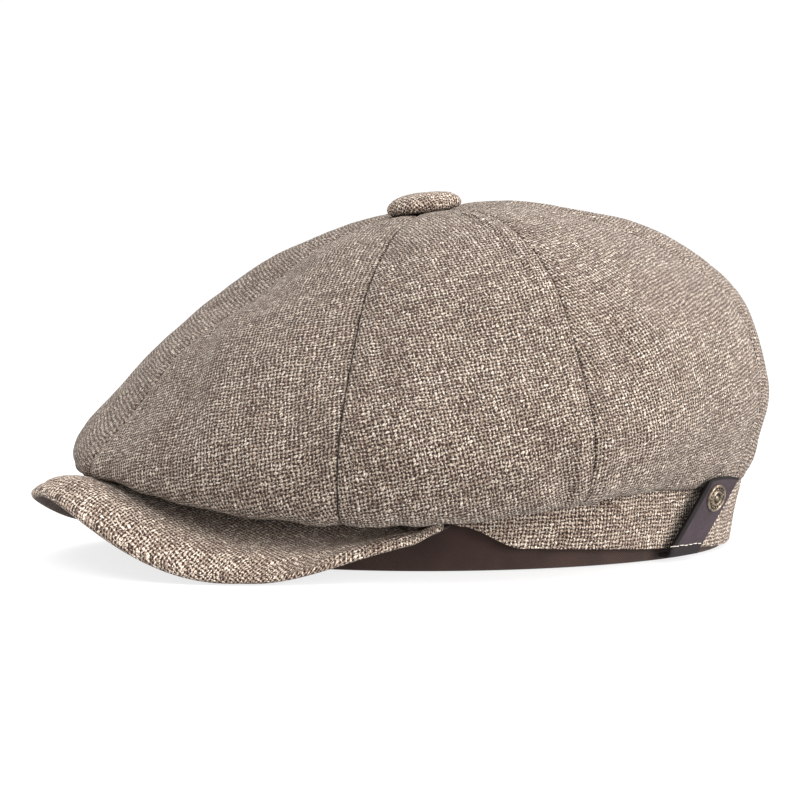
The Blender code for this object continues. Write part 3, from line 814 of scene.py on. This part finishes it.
# Soft folds: from one (azimuth in degrees, share) to another, height and width in mm.
FOLDS = (
    (6, 0.47, 19, 0.64, -1.4, 6), (11, 0.44, 26, 0.63, 1.3, 6), (36, 0.56, 42, 0.68, -1.3, 10),
    (30, 0.42, 33, 0.56, 0.7, 9), (79, 0.4, 79.5, 0.62, 0.8, 4), (73, 0.61, 80, 0.77, -1.7, 4),
    (69, 0.64, 75, 0.78, 1.0, 5), (64, 0.42, 66, 0.6, -0.8, 8), (56, 0.5, 58, 0.66, 0.6, 7),
    (93, 0.5, 90, 0.72, -0.9, 7), (98, 0.5, 97, 0.68, 0.6, 8), (112, 0.62, 106, 0.82, -0.8, 7),
    (32, 0.16, 33, 0.3, -0.5, 4), (60, 0.14, 60, 0.3, 0.5, 5), (352, 0.4, 340, 0.62, -1.1, 8),
    (325, 0.5, 318, 0.7, 1.0, 8), (300, 0.55, 290, 0.72, -1.2, 7), (262, 0.5, 268, 0.74, -1.2, 7),
    (245, 0.55, 252, 0.76, 0.9, 8), (212, 0.6, 205, 0.82, -1.0, 8), (160, 0.62, 166, 0.84, -0.9, 9),
    (140, 0.6, 146, 0.8, 0.7, 8),
)


def crown_base(azimuth, share, start, end):
    across = (azimuth - start) / (end - start)
    puff = PANEL_PUFF * (1 - (2 * across - 1) ** 2)
    puff = puff * np.sin(math.pi * np.minimum(share, 0.86)) ** 0.7
    normal = dome_normal(CROWN_SECTIONS, APEX_Z, azimuth, share)
    return dome(CROWN_SECTIONS, APEX_Z, azimuth, share) + puff[..., None] * normal, normal


def fold_lift(points):
    lift = np.zeros(points.shape[:-1])
    for azimuth, share, to_azimuth, to_share, height, width in FOLDS:
        ends = np.radians(np.array((azimuth, to_azimuth)))
        start, end = dome(CROWN_SECTIONS, APEX_Z, ends, np.array((share, to_share)))
        along = np.clip((points - start) @ (end - start) / ((end - start) @ (end - start)), 0, 1)
        away = np.linalg.norm(points - start - along[..., None] * (end - start), axis=-1)
        lift += height * MM * np.exp(-((away / (width * MM)) ** 2))
    return lift


def add_crown_panel(index, start, end, material):
    name = PANEL_NAMES[index]
    columns, rows = PANEL_GRID
    even = np.linspace(0, 1, columns)
    u = even - 0.8 * np.sin(2 * math.pi * even) / (2 * math.pi)
    share = FIRST_SHARE + (1 - FIRST_SHARE) * np.linspace(0, 1, rows)[:, None] + 0 * u
    azimuth = start + (end - start) * u[None, :] + 0 * share
    points, normal = crown_base(azimuth, share, start, end)
    along = run_along(points, 1)
    width = along[:, -1:]
    from_seam = np.minimum(along, width - along)
    centred = along - width / 2
    down = run_along(points, 0)[:, columns // 2][:, None] + 0 * centred
    reach = np.minimum(SEAM_RADIUS, width * 0.25)
    inside = np.clip(reach - from_seam, 0, None)
    second = centred > 0
    line = np.where(second, SEAM_SHADES[index + 1], SEAM_SHADES[index])
    seam = (np.sqrt(np.maximum(reach**2 - inside**2, 0)) - reach) * (0.4 + 0.6 * line)
    pressed = np.where(centred < 0, ALLOWANCE_HEIGHTS[index][1], ALLOWANCE_HEIGHTS[index + 1][0])
    edge = np.exp(-(((from_seam - ALLOWANCE + 0.8 * MM) / (1.1 * MM)) ** 2))
    flat = 1 - smooth_step(ALLOWANCE - 0.9 * MM, ALLOWANCE + 1.3 * MM, from_seam)
    ridge = pressed * MM * (0.7 * flat + 0.4 * edge) * smooth_step(14 * MM, 34 * MM, width)
    rumple = wrinkle(points, 36 * MM, 1) * 0.9 * MM + wrinkle(points, 15 * MM, 2) * 0.5 * MM
    rumple = rumple + wrinkle(points, 6 * MM, 3) * 0.12 * MM
    rumple = rumple * smooth_step(0.05, 0.25, share)
    low = smooth_step(0.66, 0.9, share)
    gather = np.sin(azimuth * 38 + 4 * wrinkle(points, 24 * MM, 5)) * 0.35 * MM * low
    near = np.exp(-from_seam / (7 * MM))
    pucker = wrinkle(points, 5.5 * MM, 6) * 0.45 * MM * near
    hold = 0.3 + 0.7 * smooth_step(0.0, 8 * MM, from_seam) * (1 - smooth_step(0.9, 1.0, share))
    lift = seam + ridge + pucker + (rumple + gather + fold_lift(points)) * hold
    points = points + normal * lift[..., None]
    grain = math.radians(GRAIN_DEGREES[index])
    cloth = np.stack([
        centred * math.cos(grain) - down * math.sin(grain),
        centred * math.sin(grain) + down * math.cos(grain),
    ], -1)
    panel = grid_piece("panel_" + name, points, cloth, material)
    broken = np.clip(0.85 + 0.9 * wrinkle(points, 4 * MM, 7), 0.3, 1)
    # Painted shade along the seam lines, broken here and there.
    shade = line * broken * np.exp(-((from_seam / (0.36 * MM)) ** 2))
    shade = shade * np.maximum(smooth_step(0.08, 0.45, share), 0.4 * (line > 0.7))
    # Painted shade also in the crease along the bottom edge, where the crown meets the band.
    set_painted_shade(panel, np.maximum(shade, 0.75 * smooth_step(0.955, 1.0, share)))
    declare_sheet(points)
    thicken(panel, CROWN_THICKNESS)
    dress(panel, "linen_weave", "crown_panel_" + name)


def add_crown(material):
    seams = [math.radians(a) for a in SEAM_DEGREES]
    for index, (start, end) in enumerate(zip(seams, seams[1:])):
        add_crown_panel(index, start, end, material)


# --- Rings: bands, sweatband ---


RING_ROWS = 14
BAND_THICKNESS = 2.2 * MM
BAND_BELOW_HEM = 0.8 * MM
BAND_SEAM_GAP = 0.004
SWEATBAND_INSET = 2.4 * MM
SWEATBAND_THICKNESS = 1.3 * MM
SWEATBAND_SEAM_GAP = 0.003
SWEATBAND_LIFT = 0.02 * MM
ELASTIC_HALF_ANGLE = math.radians(28)


def ring_piece(name, azimuth, top, bottom, place, thickness, material, node, slot):
    """A band between two heights, thick all through and with soft edges."""
    share = np.linspace(0, 1, RING_ROWS)
    heights = top + (bottom - top) * share[:, None]
    points = place(np.broadcast_to(azimuth, heights.shape), heights)
    piece = grid_piece(name, points, np.stack([run_along(points, 1), heights], -1), material)
    declare_sheet(points)
    soft_shell(piece, thickness, -1.0, thickness * 0.42)
    dress(piece, slot, node)


def add_outer_band(material):
    """Both halves, with the soft crease where the left one leans in behind the temple."""

    def place(azimuths, heights):
        points = band_point(azimuths, heights)
        out = np.concatenate([ellipse_normal(azimuths), 0 * heights[..., None]], -1)
        soft = wrinkle(points, 26 * MM, 8) * 0.6 * MM + wrinkle(points, 9 * MM, 9) * 0.3 * MM
        slant = np.degrees(azimuths) - 76 - heights / MM * 0.7
        soft = soft - 0.9 * MM * np.exp(-((slant / 3.0) ** 2))
        soft = soft + 0.6 * MM * np.exp(-(((slant - 6) / 3.5) ** 2))
        return points + out * soft[..., None]

    turn = np.linspace(BAND_SEAM_GAP, math.pi - BAND_SEAM_GAP, 150)
    for name, azimuth in (("left", turn), ("right", -turn[::-1])):
        ring_piece(
            "band_" + name, azimuth, hem_height(azimuth) - BAND_BELOW_HEM, band_bottom(azimuth),
            place, BAND_THICKNESS, material, "outer_band_" + name, "linen_weave",
        )


def add_sweatband(twill, elastic):
    """The ring inside the band, closed by an elastic at the back."""

    def place(azimuths, heights):
        spot = ellipse(azimuths) - ellipse_normal(azimuths) * SWEATBAND_INSET
        return np.concatenate([spot + np.array((0, HEAD_Y)), heights[..., None]], -1)

    reach = math.pi - ELASTIC_HALF_ANGLE
    for name, start, end, material, node, slot in (
        ("sweatband_cloth", -reach, reach, twill, "sweatband", "brown_twill"),
        ("elastic_band", reach, math.tau - reach, elastic, "back_elastic", "elastic_webbing"),
    ):
        azimuth = np.linspace(start + SWEATBAND_SEAM_GAP, end - SWEATBAND_SEAM_GAP, 180)
        front = (1 + np.cos(azimuth)) / 2
        top = ELASTIC_HIGH[2] + (SWEATBAND_HIGH[2] - ELASTIC_HIGH[2]) * front
        bottom = 0 * azimuth + SWEATBAND_LOW[2] + SWEATBAND_LIFT
        ring_piece(name, azimuth, top, bottom, place, SWEATBAND_THICKNESS, material, node, slot)


# --- Visor ---


VISOR_REACH = 0.988
VISOR_ROWS = 44
VISOR_STITCH_INSET = 3.4 * MM
VISOR_TAPER = 9 * MM
VISOR_COVER_THICKNESS = 0.45 * MM
VISOR_LINING_THICKNESS = 0.6 * MM
VISOR_LINING_INSET = 2.6 * MM
VISOR_LINING_SINK = 0.2 * MM
# The ends are tucked up and in, under the crown.
VISOR_TUCK_START = 0.94
VISOR_TUCK_UP = np.array((0, 0, 1.8)) * MM
VISOR_TUCK_IN = 1.2 * MM
# How far in the cover is turned back below.
VISOR_TURN_BACK = (2 * MM, 4 * MM, 6 * MM)
VISOR_SKIPPED_ENDS = 16
VISOR_CLOTH_STRETCH = 1.2


def visor_cloth_x(x, edge):
    """Where each x lies on the flat cloth, whose run along the edge is longer than its width."""
    inner = edge[VISOR_SKIPPED_ENDS:-VISOR_SKIPPED_ENDS]
    first, last = inner[0, 0], inner[-1, 0]
    bent = run_along(inner[None], 1)[0]
    bent = (first + bent * (last - first) / bent[-1]) * VISOR_CLOTH_STRETCH
    far = 50 * MM
    given = np.concatenate([[first - far], inner[:, 0], [last + far]])
    taken = np.concatenate([[bent[0] - far * 1.5], bent, [bent[-1] + far * 1.5]])
    return np.interp(x, given, taken)


def add_visor(linen, twill):
    """The cloth over the board, rolled round its edge, and the twill below."""
    across = np.linspace(-VISOR_REACH, VISOR_REACH, 181)[None, :]
    out = np.linspace(0, 1, VISOR_ROWS)[:, None] ** 0.8
    base = visor_point(across, out)
    normal = visor_normal(across, out)
    edge, edge_normal = base[-1], normal[-1]
    outward = np.cross(np.gradient(edge, axis=0), edge_normal)
    outward = outward / np.linalg.norm(outward, axis=-1, keepdims=True)
    depth = visor_depth(across)
    half = VISOR_HALF_THICKNESS * np.clip(depth[0] / VISOR_TAPER, 0.3, 1)
    from_edge = depth * (1 - out)
    groove = -0.35 * MM * np.exp(-(((from_edge - VISOR_STITCH_INSET) / (0.8 * MM)) ** 2))
    soft = wrinkle(base, 22 * MM, 12) * 0.45 * MM + wrinkle(base, 7 * MM, 13) * 0.15 * MM
    top = base + normal * (half + groove + soft * smooth_step(0, 6 * MM, from_edge))[..., None]
    below = []
    for angle in np.linspace(0, math.pi, 11)[1:]:
        away = math.cos(angle) * edge_normal + math.sin(angle) * outward
        below.append(edge + half[:, None] * away)
    for inward in VISOR_TURN_BACK:
        share = 1 - np.minimum(inward / depth, inward / (8 * MM))
        below.append((visor_point(across, share) - visor_normal(across, share) * half[:, None])[0])
    end = smooth_step(VISOR_TUCK_START, VISOR_REACH, np.abs(across))[..., None]
    tuck = end * (VISOR_TUCK_UP - outward * VISOR_TUCK_IN)
    points = np.concatenate([top, np.array(below)]) + tuck
    past_edge = np.maximum(run_along(points, 0) - run_along(points, 0)[VISOR_ROWS - 1], 0)
    flat_edge = edge[:, :2]
    flat = np.concatenate([top[..., :2], np.broadcast_to(flat_edge, (len(below), *flat_edge.shape))])
    flat[..., 0] = visor_cloth_x(flat[..., 0], edge)
    way = outward[:, :2] / np.linalg.norm(outward[:, :2], axis=-1, keepdims=True)
    cloth = (flat + way * past_edge[..., None]) * np.array((1, -1))
    cover = grid_piece("visor_cover", points, cloth, linen)
    # Painted shade on the lower half of the rolled edge and on the turned-back cloth below.
    shade = np.zeros(points.shape[:-1])
    shade[VISOR_ROWS + 4:] = 0.45
    shade[VISOR_ROWS + 6:] = 0.8
    set_painted_shade(cover, shade)
    declare_sheet(points)
    thicken(cover, VISOR_COVER_THICKNESS)
    dress(cover, "linen_weave", "visor_top_cover")
    under_out = np.linspace(0, 1, 20)[:, None] * np.clip(1 - VISOR_LINING_INSET / depth, 0, 1)
    drop = visor_normal(across, under_out) * (half - VISOR_LINING_SINK)[:, None]
    under = visor_point(across, under_out) - drop + tuck
    piece = grid_piece("visor_lining", under, under[..., :2].copy(), twill)
    declare_sheet(under)
    thicken(piece, VISOR_LINING_THICKNESS, 1.0)
    dress(piece, "brown_twill", "visor_under_cover")


# --- Lining ---


def add_lining(material):
    """A crown piece and two side pieces, loosely rumpled inwards."""
    apex = APEX_Z - LINING_DROP

    def rumpled(azimuth, share):
        points = dome(LINING_SECTIONS, apex, azimuth, share)
        normal = dome_normal(LINING_SECTIONS, apex, azimuth, share)
        lift = wrinkle(points, 24 * MM, 21) * 1.2 * MM + wrinkle(points, 10 * MM, 22) * 0.5 * MM
        return points - normal * (np.abs(lift) * smooth_step(0.05, 0.2, share))[..., None]

    for name, node, start, end, low, high in (
        ("lining_crown", "lining_top", 0, math.tau, 0.02, LINING_TOP_SHARE),
        ("lining_left", "lining_side_left", LINING_SEAM_GAP, math.pi - LINING_SEAM_GAP,
         LINING_TOP_SHARE, 1),
        ("lining_right", "lining_side_right", math.pi + LINING_SEAM_GAP,
         math.tau - LINING_SEAM_GAP, LINING_TOP_SHARE, 1),
    ):
        closed = node == "lining_top"
        count = 96 if closed else 70
        azimuth = np.linspace(start, end, count + closed)[None, :]
        share = np.linspace(low, high, 26)[:, None]
        azimuth, share = np.broadcast_arrays(azimuth, share)
        points = rumpled(azimuth, share)
        cloth = points[..., :2].copy()
        if not closed:
            cloth = np.stack([run_along(points, 1), run_along(points, 0)], -1)
        piece = grid_piece(name, points[:, :count] if closed else points, cloth, material,
                           closed=closed)
        declare_sheet(points)
        thicken(piece, LINING_THICKNESS)
        dress(piece, "lining_satin", node)


# --- Button, tab, label ---

BUTTON_TILT = math.radians(9)
BUTTON_FORWARD = 0.7 * MM
BUTTON_SINK = 0.8 * MM
BUTTON_THICKNESS = 0.9 * MM
BUTTON_SIDES = 120
BUTTON_PROFILE = (
    (0, 8.6), (3, 8.55), (6, 8.3), (8.6, 7.8), (10.6, 7.1), (12.2, 6.1), (13.3, 4.9),
    (13.6, 3.7), (13.2, 2.6), (12.2, 1.9), (10.6, 1.6),
)


def add_button(material):
    """Cloth pulled over a round mould, in small pleats at its rim."""
    steps = np.linspace(0, len(BUTTON_PROFILE) - 1, 40)
    profile = catmull(np.array(BUTTON_PROFILE), steps) * MM
    turn = np.linspace(0, math.tau, BUTTON_SIDES + 1)[None, :]
    radius = np.maximum(profile[:, :1], 0.02 * MM) + 0 * turn
    height = profile[:, 1:] + 0 * turn
    rim = smooth_step(7 * MM, 13 * MM, radius)
    pleat = np.sin(turn * 22 + 1.3 * np.sin(turn * 5)) * 0.16 * MM * rim
    side = 1 + 0.018 * np.cos(turn * 8 + 0.4) * rim + (pleat / radius)
    flat = np.stack([radius * side * np.cos(turn), radius * side * np.sin(turn), height], -1)
    flat[..., 2] += wrinkle(flat, 9 * MM, 31) * 0.3 * MM
    middle = (0, BUTTON_Y + HEAD_Y - BUTTON_FORWARD, APEX_Z - BUTTON_SINK)
    seat = np.array(Matrix.Translation(middle) @ Matrix.Rotation(BUTTON_TILT, 4, "X"))
    points = flat @ seat[:3, :3].T + seat[:3, 3]
    around = run_along(flat, 0)
    cloth = np.stack([around * np.cos(turn), around * np.sin(turn)], -1)
    button = grid_piece("button_cloth", points[:, :BUTTON_SIDES], cloth, material, closed=True)
    # Painted shade on the button's lowest rim, where it sits down on the crown.
    set_painted_shade(button, 0.45 * smooth_step(3.4 * MM, 1.7 * MM, height)[:, :BUTTON_SIDES])
    declare_sheet(points)
    thicken(button, BUTTON_THICKNESS)
    dress(button, "linen_weave", "button_cover")


TUBE_SIDES = 8
TUBE_END = 0.45


def tube(name, paths, radius, material):
    """Round strands along lists of points, with rounded ends, as one piece."""
    vertices, faces = [], []
    for path in paths:
        path = np.array(path, float)
        way = np.gradient(path, axis=0)
        way /= np.linalg.norm(way, axis=1, keepdims=True)
        side = np.cross(way, (0.31, 0.22, 0.92))
        side /= np.linalg.norm(side, axis=1, keepdims=True)
        other = np.cross(way, side)
        first = len(vertices)
        for k in range(len(path)):
            thin = TUBE_END if k in (0, len(path) - 1) else 1.0
            for j in range(TUBE_SIDES):
                angle = math.tau * j / TUBE_SIDES
                spoke = math.cos(angle) * side[k] + math.sin(angle) * other[k]
                vertices.append(path[k] + radius * thin * spoke)
        for k in range(len(path) - 1):
            start = first + k * TUBE_SIDES
            for j in range(TUBE_SIDES):
                a, b = start + j, start + (j + 1) % TUBE_SIDES
                faces.append((a, b, b + TUBE_SIDES, a + TUBE_SIDES))
        last = first + (len(path) - 1) * TUBE_SIDES
        faces.append(tuple(range(first + TUBE_SIDES - 1, first - 1, -1)))
        faces.append(tuple(range(last, last + TUBE_SIDES)))
    mesh = bpy.data.meshes.new(name)
    mesh.from_pydata([tuple(v) for v in vertices], [], faces)
    mesh.shade_smooth()
    mesh.materials.append(material)
    return add_object(name, mesh)


TAB_LEAN = math.radians(14)
TAB_WIDTH = 17.5 * MM
TAB_HEIGHT = 25 * MM
TAB_SLANT = 15.3 * MM
TAB_THICKNESS = 1.35 * MM
TAB_EDGE = 0.3 * MM
STUD_HEIGHT_ON_TAB = 18.8 * MM
# The strap's middle line, as (out from the band, height) round the fold, in mm.
STRAP_FOLD = (
    (-4.2, -0.95), (-2.8, -0.97), (-1.4, -1.0), (-0.3, -0.85), (0.35, -0.2), (0.6, 1.0),
)
STRAP_START = 2.4 * MM
STITCHES = 6
STITCH_START = -6.6 * MM
STITCH_PITCH = 2.6 * MM
STITCH_LENGTH = 2.2 * MM
STITCH_HEIGHT = 2.6 * MM
STITCH_RADIUS = 0.16 * MM


def tab_axes():
    joint = frame["record"]["behaviour"]["joints"][0]
    origin = np.array(joint["pos_m"])
    back = np.array(joint["axis"])
    out = np.array((back[1], -back[0], 0))
    up = np.array((0, 0, 1)) * math.cos(TAB_LEAN) + out * math.sin(TAB_LEAN)
    return origin, back, out, up, np.cross(back, up)


def strap_lines():
    """The strap's middle line from its stitched tail to its free end, and how far up each is."""
    origin, _, out, up, _ = tab_axes()
    fold = [origin + (a * out + b * np.array((0, 0, 1))) * MM for a, b in STRAP_FOLD]
    rise = np.linspace(STRAP_START, TAB_HEIGHT, 22)
    line = np.array(fold + [origin + up * r for r in rise])
    high = np.concatenate([np.zeros(len(fold)), rise])
    return line, high


def tab_stitch_paths():
    """A row of stitches over the hem, and the loose end of its thread."""
    origin, back, _, up, face = tab_axes()
    paths = []
    for k in range(STITCHES):
        low = origin + up * (STITCH_HEIGHT + 0.12 * MM * math.sin(k * 2.1))
        path = []
        for t in np.linspace(0, 1, 6):
            along = STITCH_START + STITCH_PITCH * k + STITCH_LENGTH * t
            path.append(low + back * along + face * (1.1 - 0.35 * (2 * t - 1) ** 4) * MM)
        paths.append(path)
    paths.append([
        origin + back * (-6.9 - 1.3 * t) * MM + up * (2.7 + 0.5 * t - 0.5 * t * t) * MM
        + face * (1.0 + 0.5 * math.sin(3 * t)) * MM
        for t in np.linspace(0, 1.5, 9)
    ])
    return paths


def add_tab(leather, edge_thread, metal):
    """The leather strap, its stitches and its press stud."""
    origin, back, _, up, face = tab_axes()
    line, high = strap_lines()
    sideways = np.linspace(-0.5, 0.5, 15)
    slant = TAB_SLANT * high / TAB_HEIGHT
    offset = sideways[None, :] * TAB_WIDTH + slant[:, None]
    bow = (0.35 * MM * np.sin(high / TAB_HEIGHT * math.pi))[:, None] * (1 - 4 * sideways**2)
    crest = 1.1 * MM * ((high / TAB_HEIGHT) ** 6)[:, None] * (1 - 4 * sideways**2)
    points = line[:, None] + offset[..., None] * back + bow[..., None] * face
    points = points + crest[..., None] * up
    cloth = np.stack([np.broadcast_to(sideways, bow.shape), high[:, None] + 0 * bow], -1)
    strap = grid_piece("tab_strap", points, cloth, leather)
    strap.data.flip_normals()
    soft_shell(strap, TAB_THICKNESS, 0, TAB_EDGE)
    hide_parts("tab_flap", "tab_tail")
    stitches = tube("tab_stitches", tab_stitch_paths(), STITCH_RADIUS, edge_thread)
    for piece in (strap, stitches):
        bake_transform(piece)
    slant_at_stud = TAB_SLANT * STUD_HEIGHT_ON_TAB / TAB_HEIGHT
    add_stud(origin + back * slant_at_stud + up * STUD_HEIGHT_ON_TAB, back, up, face, metal)


STUD_PROFILE = (
    (4.95, 0.75), (4.95, 1.25), (4.75, 1.65), (4.4, 1.8), (4.1, 1.72), (3.95, 1.5),
    (3.75, 1.42), (2.95, 1.42), (2.8, 1.62), (2.6, 1.92), (2.35, 2.0), (2.1, 1.9), (1.95, 1.6),
    (1.8, 1.48), (1.2, 1.48), (1.05, 1.62), (0.85, 1.9), (0.5, 2.0), (0.01, 2.02),
)
STUD_BEADS = 18
BEAD_RING = 3.36 * MM
BEAD_HEIGHT = 1.44 * MM
BEAD_RADIUS = 0.36 * MM


def add_stud(middle, back, up, face, metal):
    """The press stud's head: a rim, a ring of beads, an inner ring and a plain boss."""
    turn = np.linspace(0, math.tau, 65)[None, :-1]
    profile = np.array(STUD_PROFILE) * MM
    radius = profile[:, :1] + 0 * turn
    height = profile[:, 1:] + 0 * turn
    points = middle + (radius * np.cos(turn))[..., None] * back
    points = points + (radius * np.sin(turn))[..., None] * up + height[..., None] * face
    cloth = np.stack([radius, height], -1)
    cloth = np.concatenate([cloth, cloth[:, :1]], 1)
    stud = grid_piece("stud_head", points, cloth, metal, closed=True)
    shape = bmesh.new()
    shape.from_mesh(stud.data)
    for k in range(STUD_BEADS):
        angle = math.tau * k / STUD_BEADS
        spot = middle + (math.cos(angle) * back + math.sin(angle) * up) * BEAD_RING
        spot = spot + face * BEAD_HEIGHT
        bmesh.ops.create_uvsphere(
            shape, u_segments=10, v_segments=8, radius=BEAD_RADIUS,
            matrix=Matrix.Translation(tuple(spot)),
        )
    bmesh.ops.recalc_face_normals(shape, faces=shape.faces)
    shape.to_mesh(stud.data)
    shape.free()
    stud.data.shade_smooth()
    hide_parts("snap_cap")
    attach(stud, "tab")


LABEL_ANGLE = math.radians(22)
LABEL_SHARES = (0.66, 0.78)
LABEL_OFFSET = 2.1 * MM
LABEL_THICKNESS = 0.35 * MM
LABEL_STITCH_RADIUS = 0.18 * MM


def add_label(cloth_material, thread):
    """A small blank woven label with a line of stitches along its top edge."""
    columns, rows = 25, 13
    azimuth = math.pi + np.linspace(-0.5, 0.5, columns)[None, :] * LABEL_ANGLE
    share = np.linspace(*LABEL_SHARES, rows)[:, None]
    azimuth, share = np.broadcast_arrays(azimuth, share)
    apex = APEX_Z - LINING_DROP
    normal = dome_normal(LINING_SECTIONS, apex, azimuth, share)
    points = dome(LINING_SECTIONS, apex, azimuth, share) - normal * LABEL_OFFSET
    points = points - normal * (wrinkle(points, 8 * MM, 41) * 0.15 * MM)[..., None]
    cloth = np.stack([run_along(points, 1), run_along(points, 0)], -1)
    label = grid_piece("woven_label", points, cloth, cloth_material)
    declare_sheet(points)
    thicken(label, LABEL_THICKNESS)
    dress(label, "label_weave", "blank_label")
    paths = []
    line, away = points[1], normal[1]
    for k in range(1, columns - 2, 2):
        paths.append([
            line[k] * (1 - t) + line[k + 1] * t - away[k] * (0.5 - 0.3 * (2 * t - 1) ** 2) * MM
            for t in np.linspace(0, 1, 5)
        ])
    stitches = tube("label_stitches", paths, LABEL_STITCH_RADIUS, thread)
    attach(stitches, "cap")


def finish_node(node, material):
    """Gives a CAD piece that keeps its own shape its finished material."""
    obj = frame["nodes"][node]
    obj.data.materials.clear()
    obj.data.materials.append(material)


add_studio()
# Lit and shaded copies of one linen: each factor makes a piece's cloth lighter or darker as painted
# light.
linen = linen_material("linen", 0.79)
band_linen = linen_material("linen_band", 1.0)
bias = linen_material("linen_bias", 1.26, math.radians(17))
twill = twill_material()
satin = satin_material()
metal = metal_material("antique_metal", (0.34, 0.28, 0.22), (0.05, 0.036, 0.03))
stud_metal = metal_material(
    "stud_metal", (0.36, 0.29, 0.22), (0.045, 0.032, 0.026), recesses=((1.1, 1.9), (2.9, 4.0))
)
steel = metal_material("plain_steel", (0.5, 0.48, 0.45), (0.22, 0.2, 0.18), 300)
cream = thread_material("cream_thread", (0.78, 0.72, 0.64))
add_crown(linen)
add_outer_band(band_linen)
add_sweatband(twill, elastic_material())
add_visor(bias, twill)
add_lining(satin)
# The button's linen is another lighter copy: painted light.
add_button(linen_material("linen_button", 1.1))
add_tab(leather_material(), cream, stud_metal)
add_label(label_material(), cream)
finish_node("visor_board", plastic_material())
for inner_node in ("button_shell", "button_back_plate", "button_shank", "button_washer"):
    finish_node(inner_node, steel)
for snap_node in ("snap_socket", "snap_stud", "snap_washer"):
    finish_node(snap_node, metal)
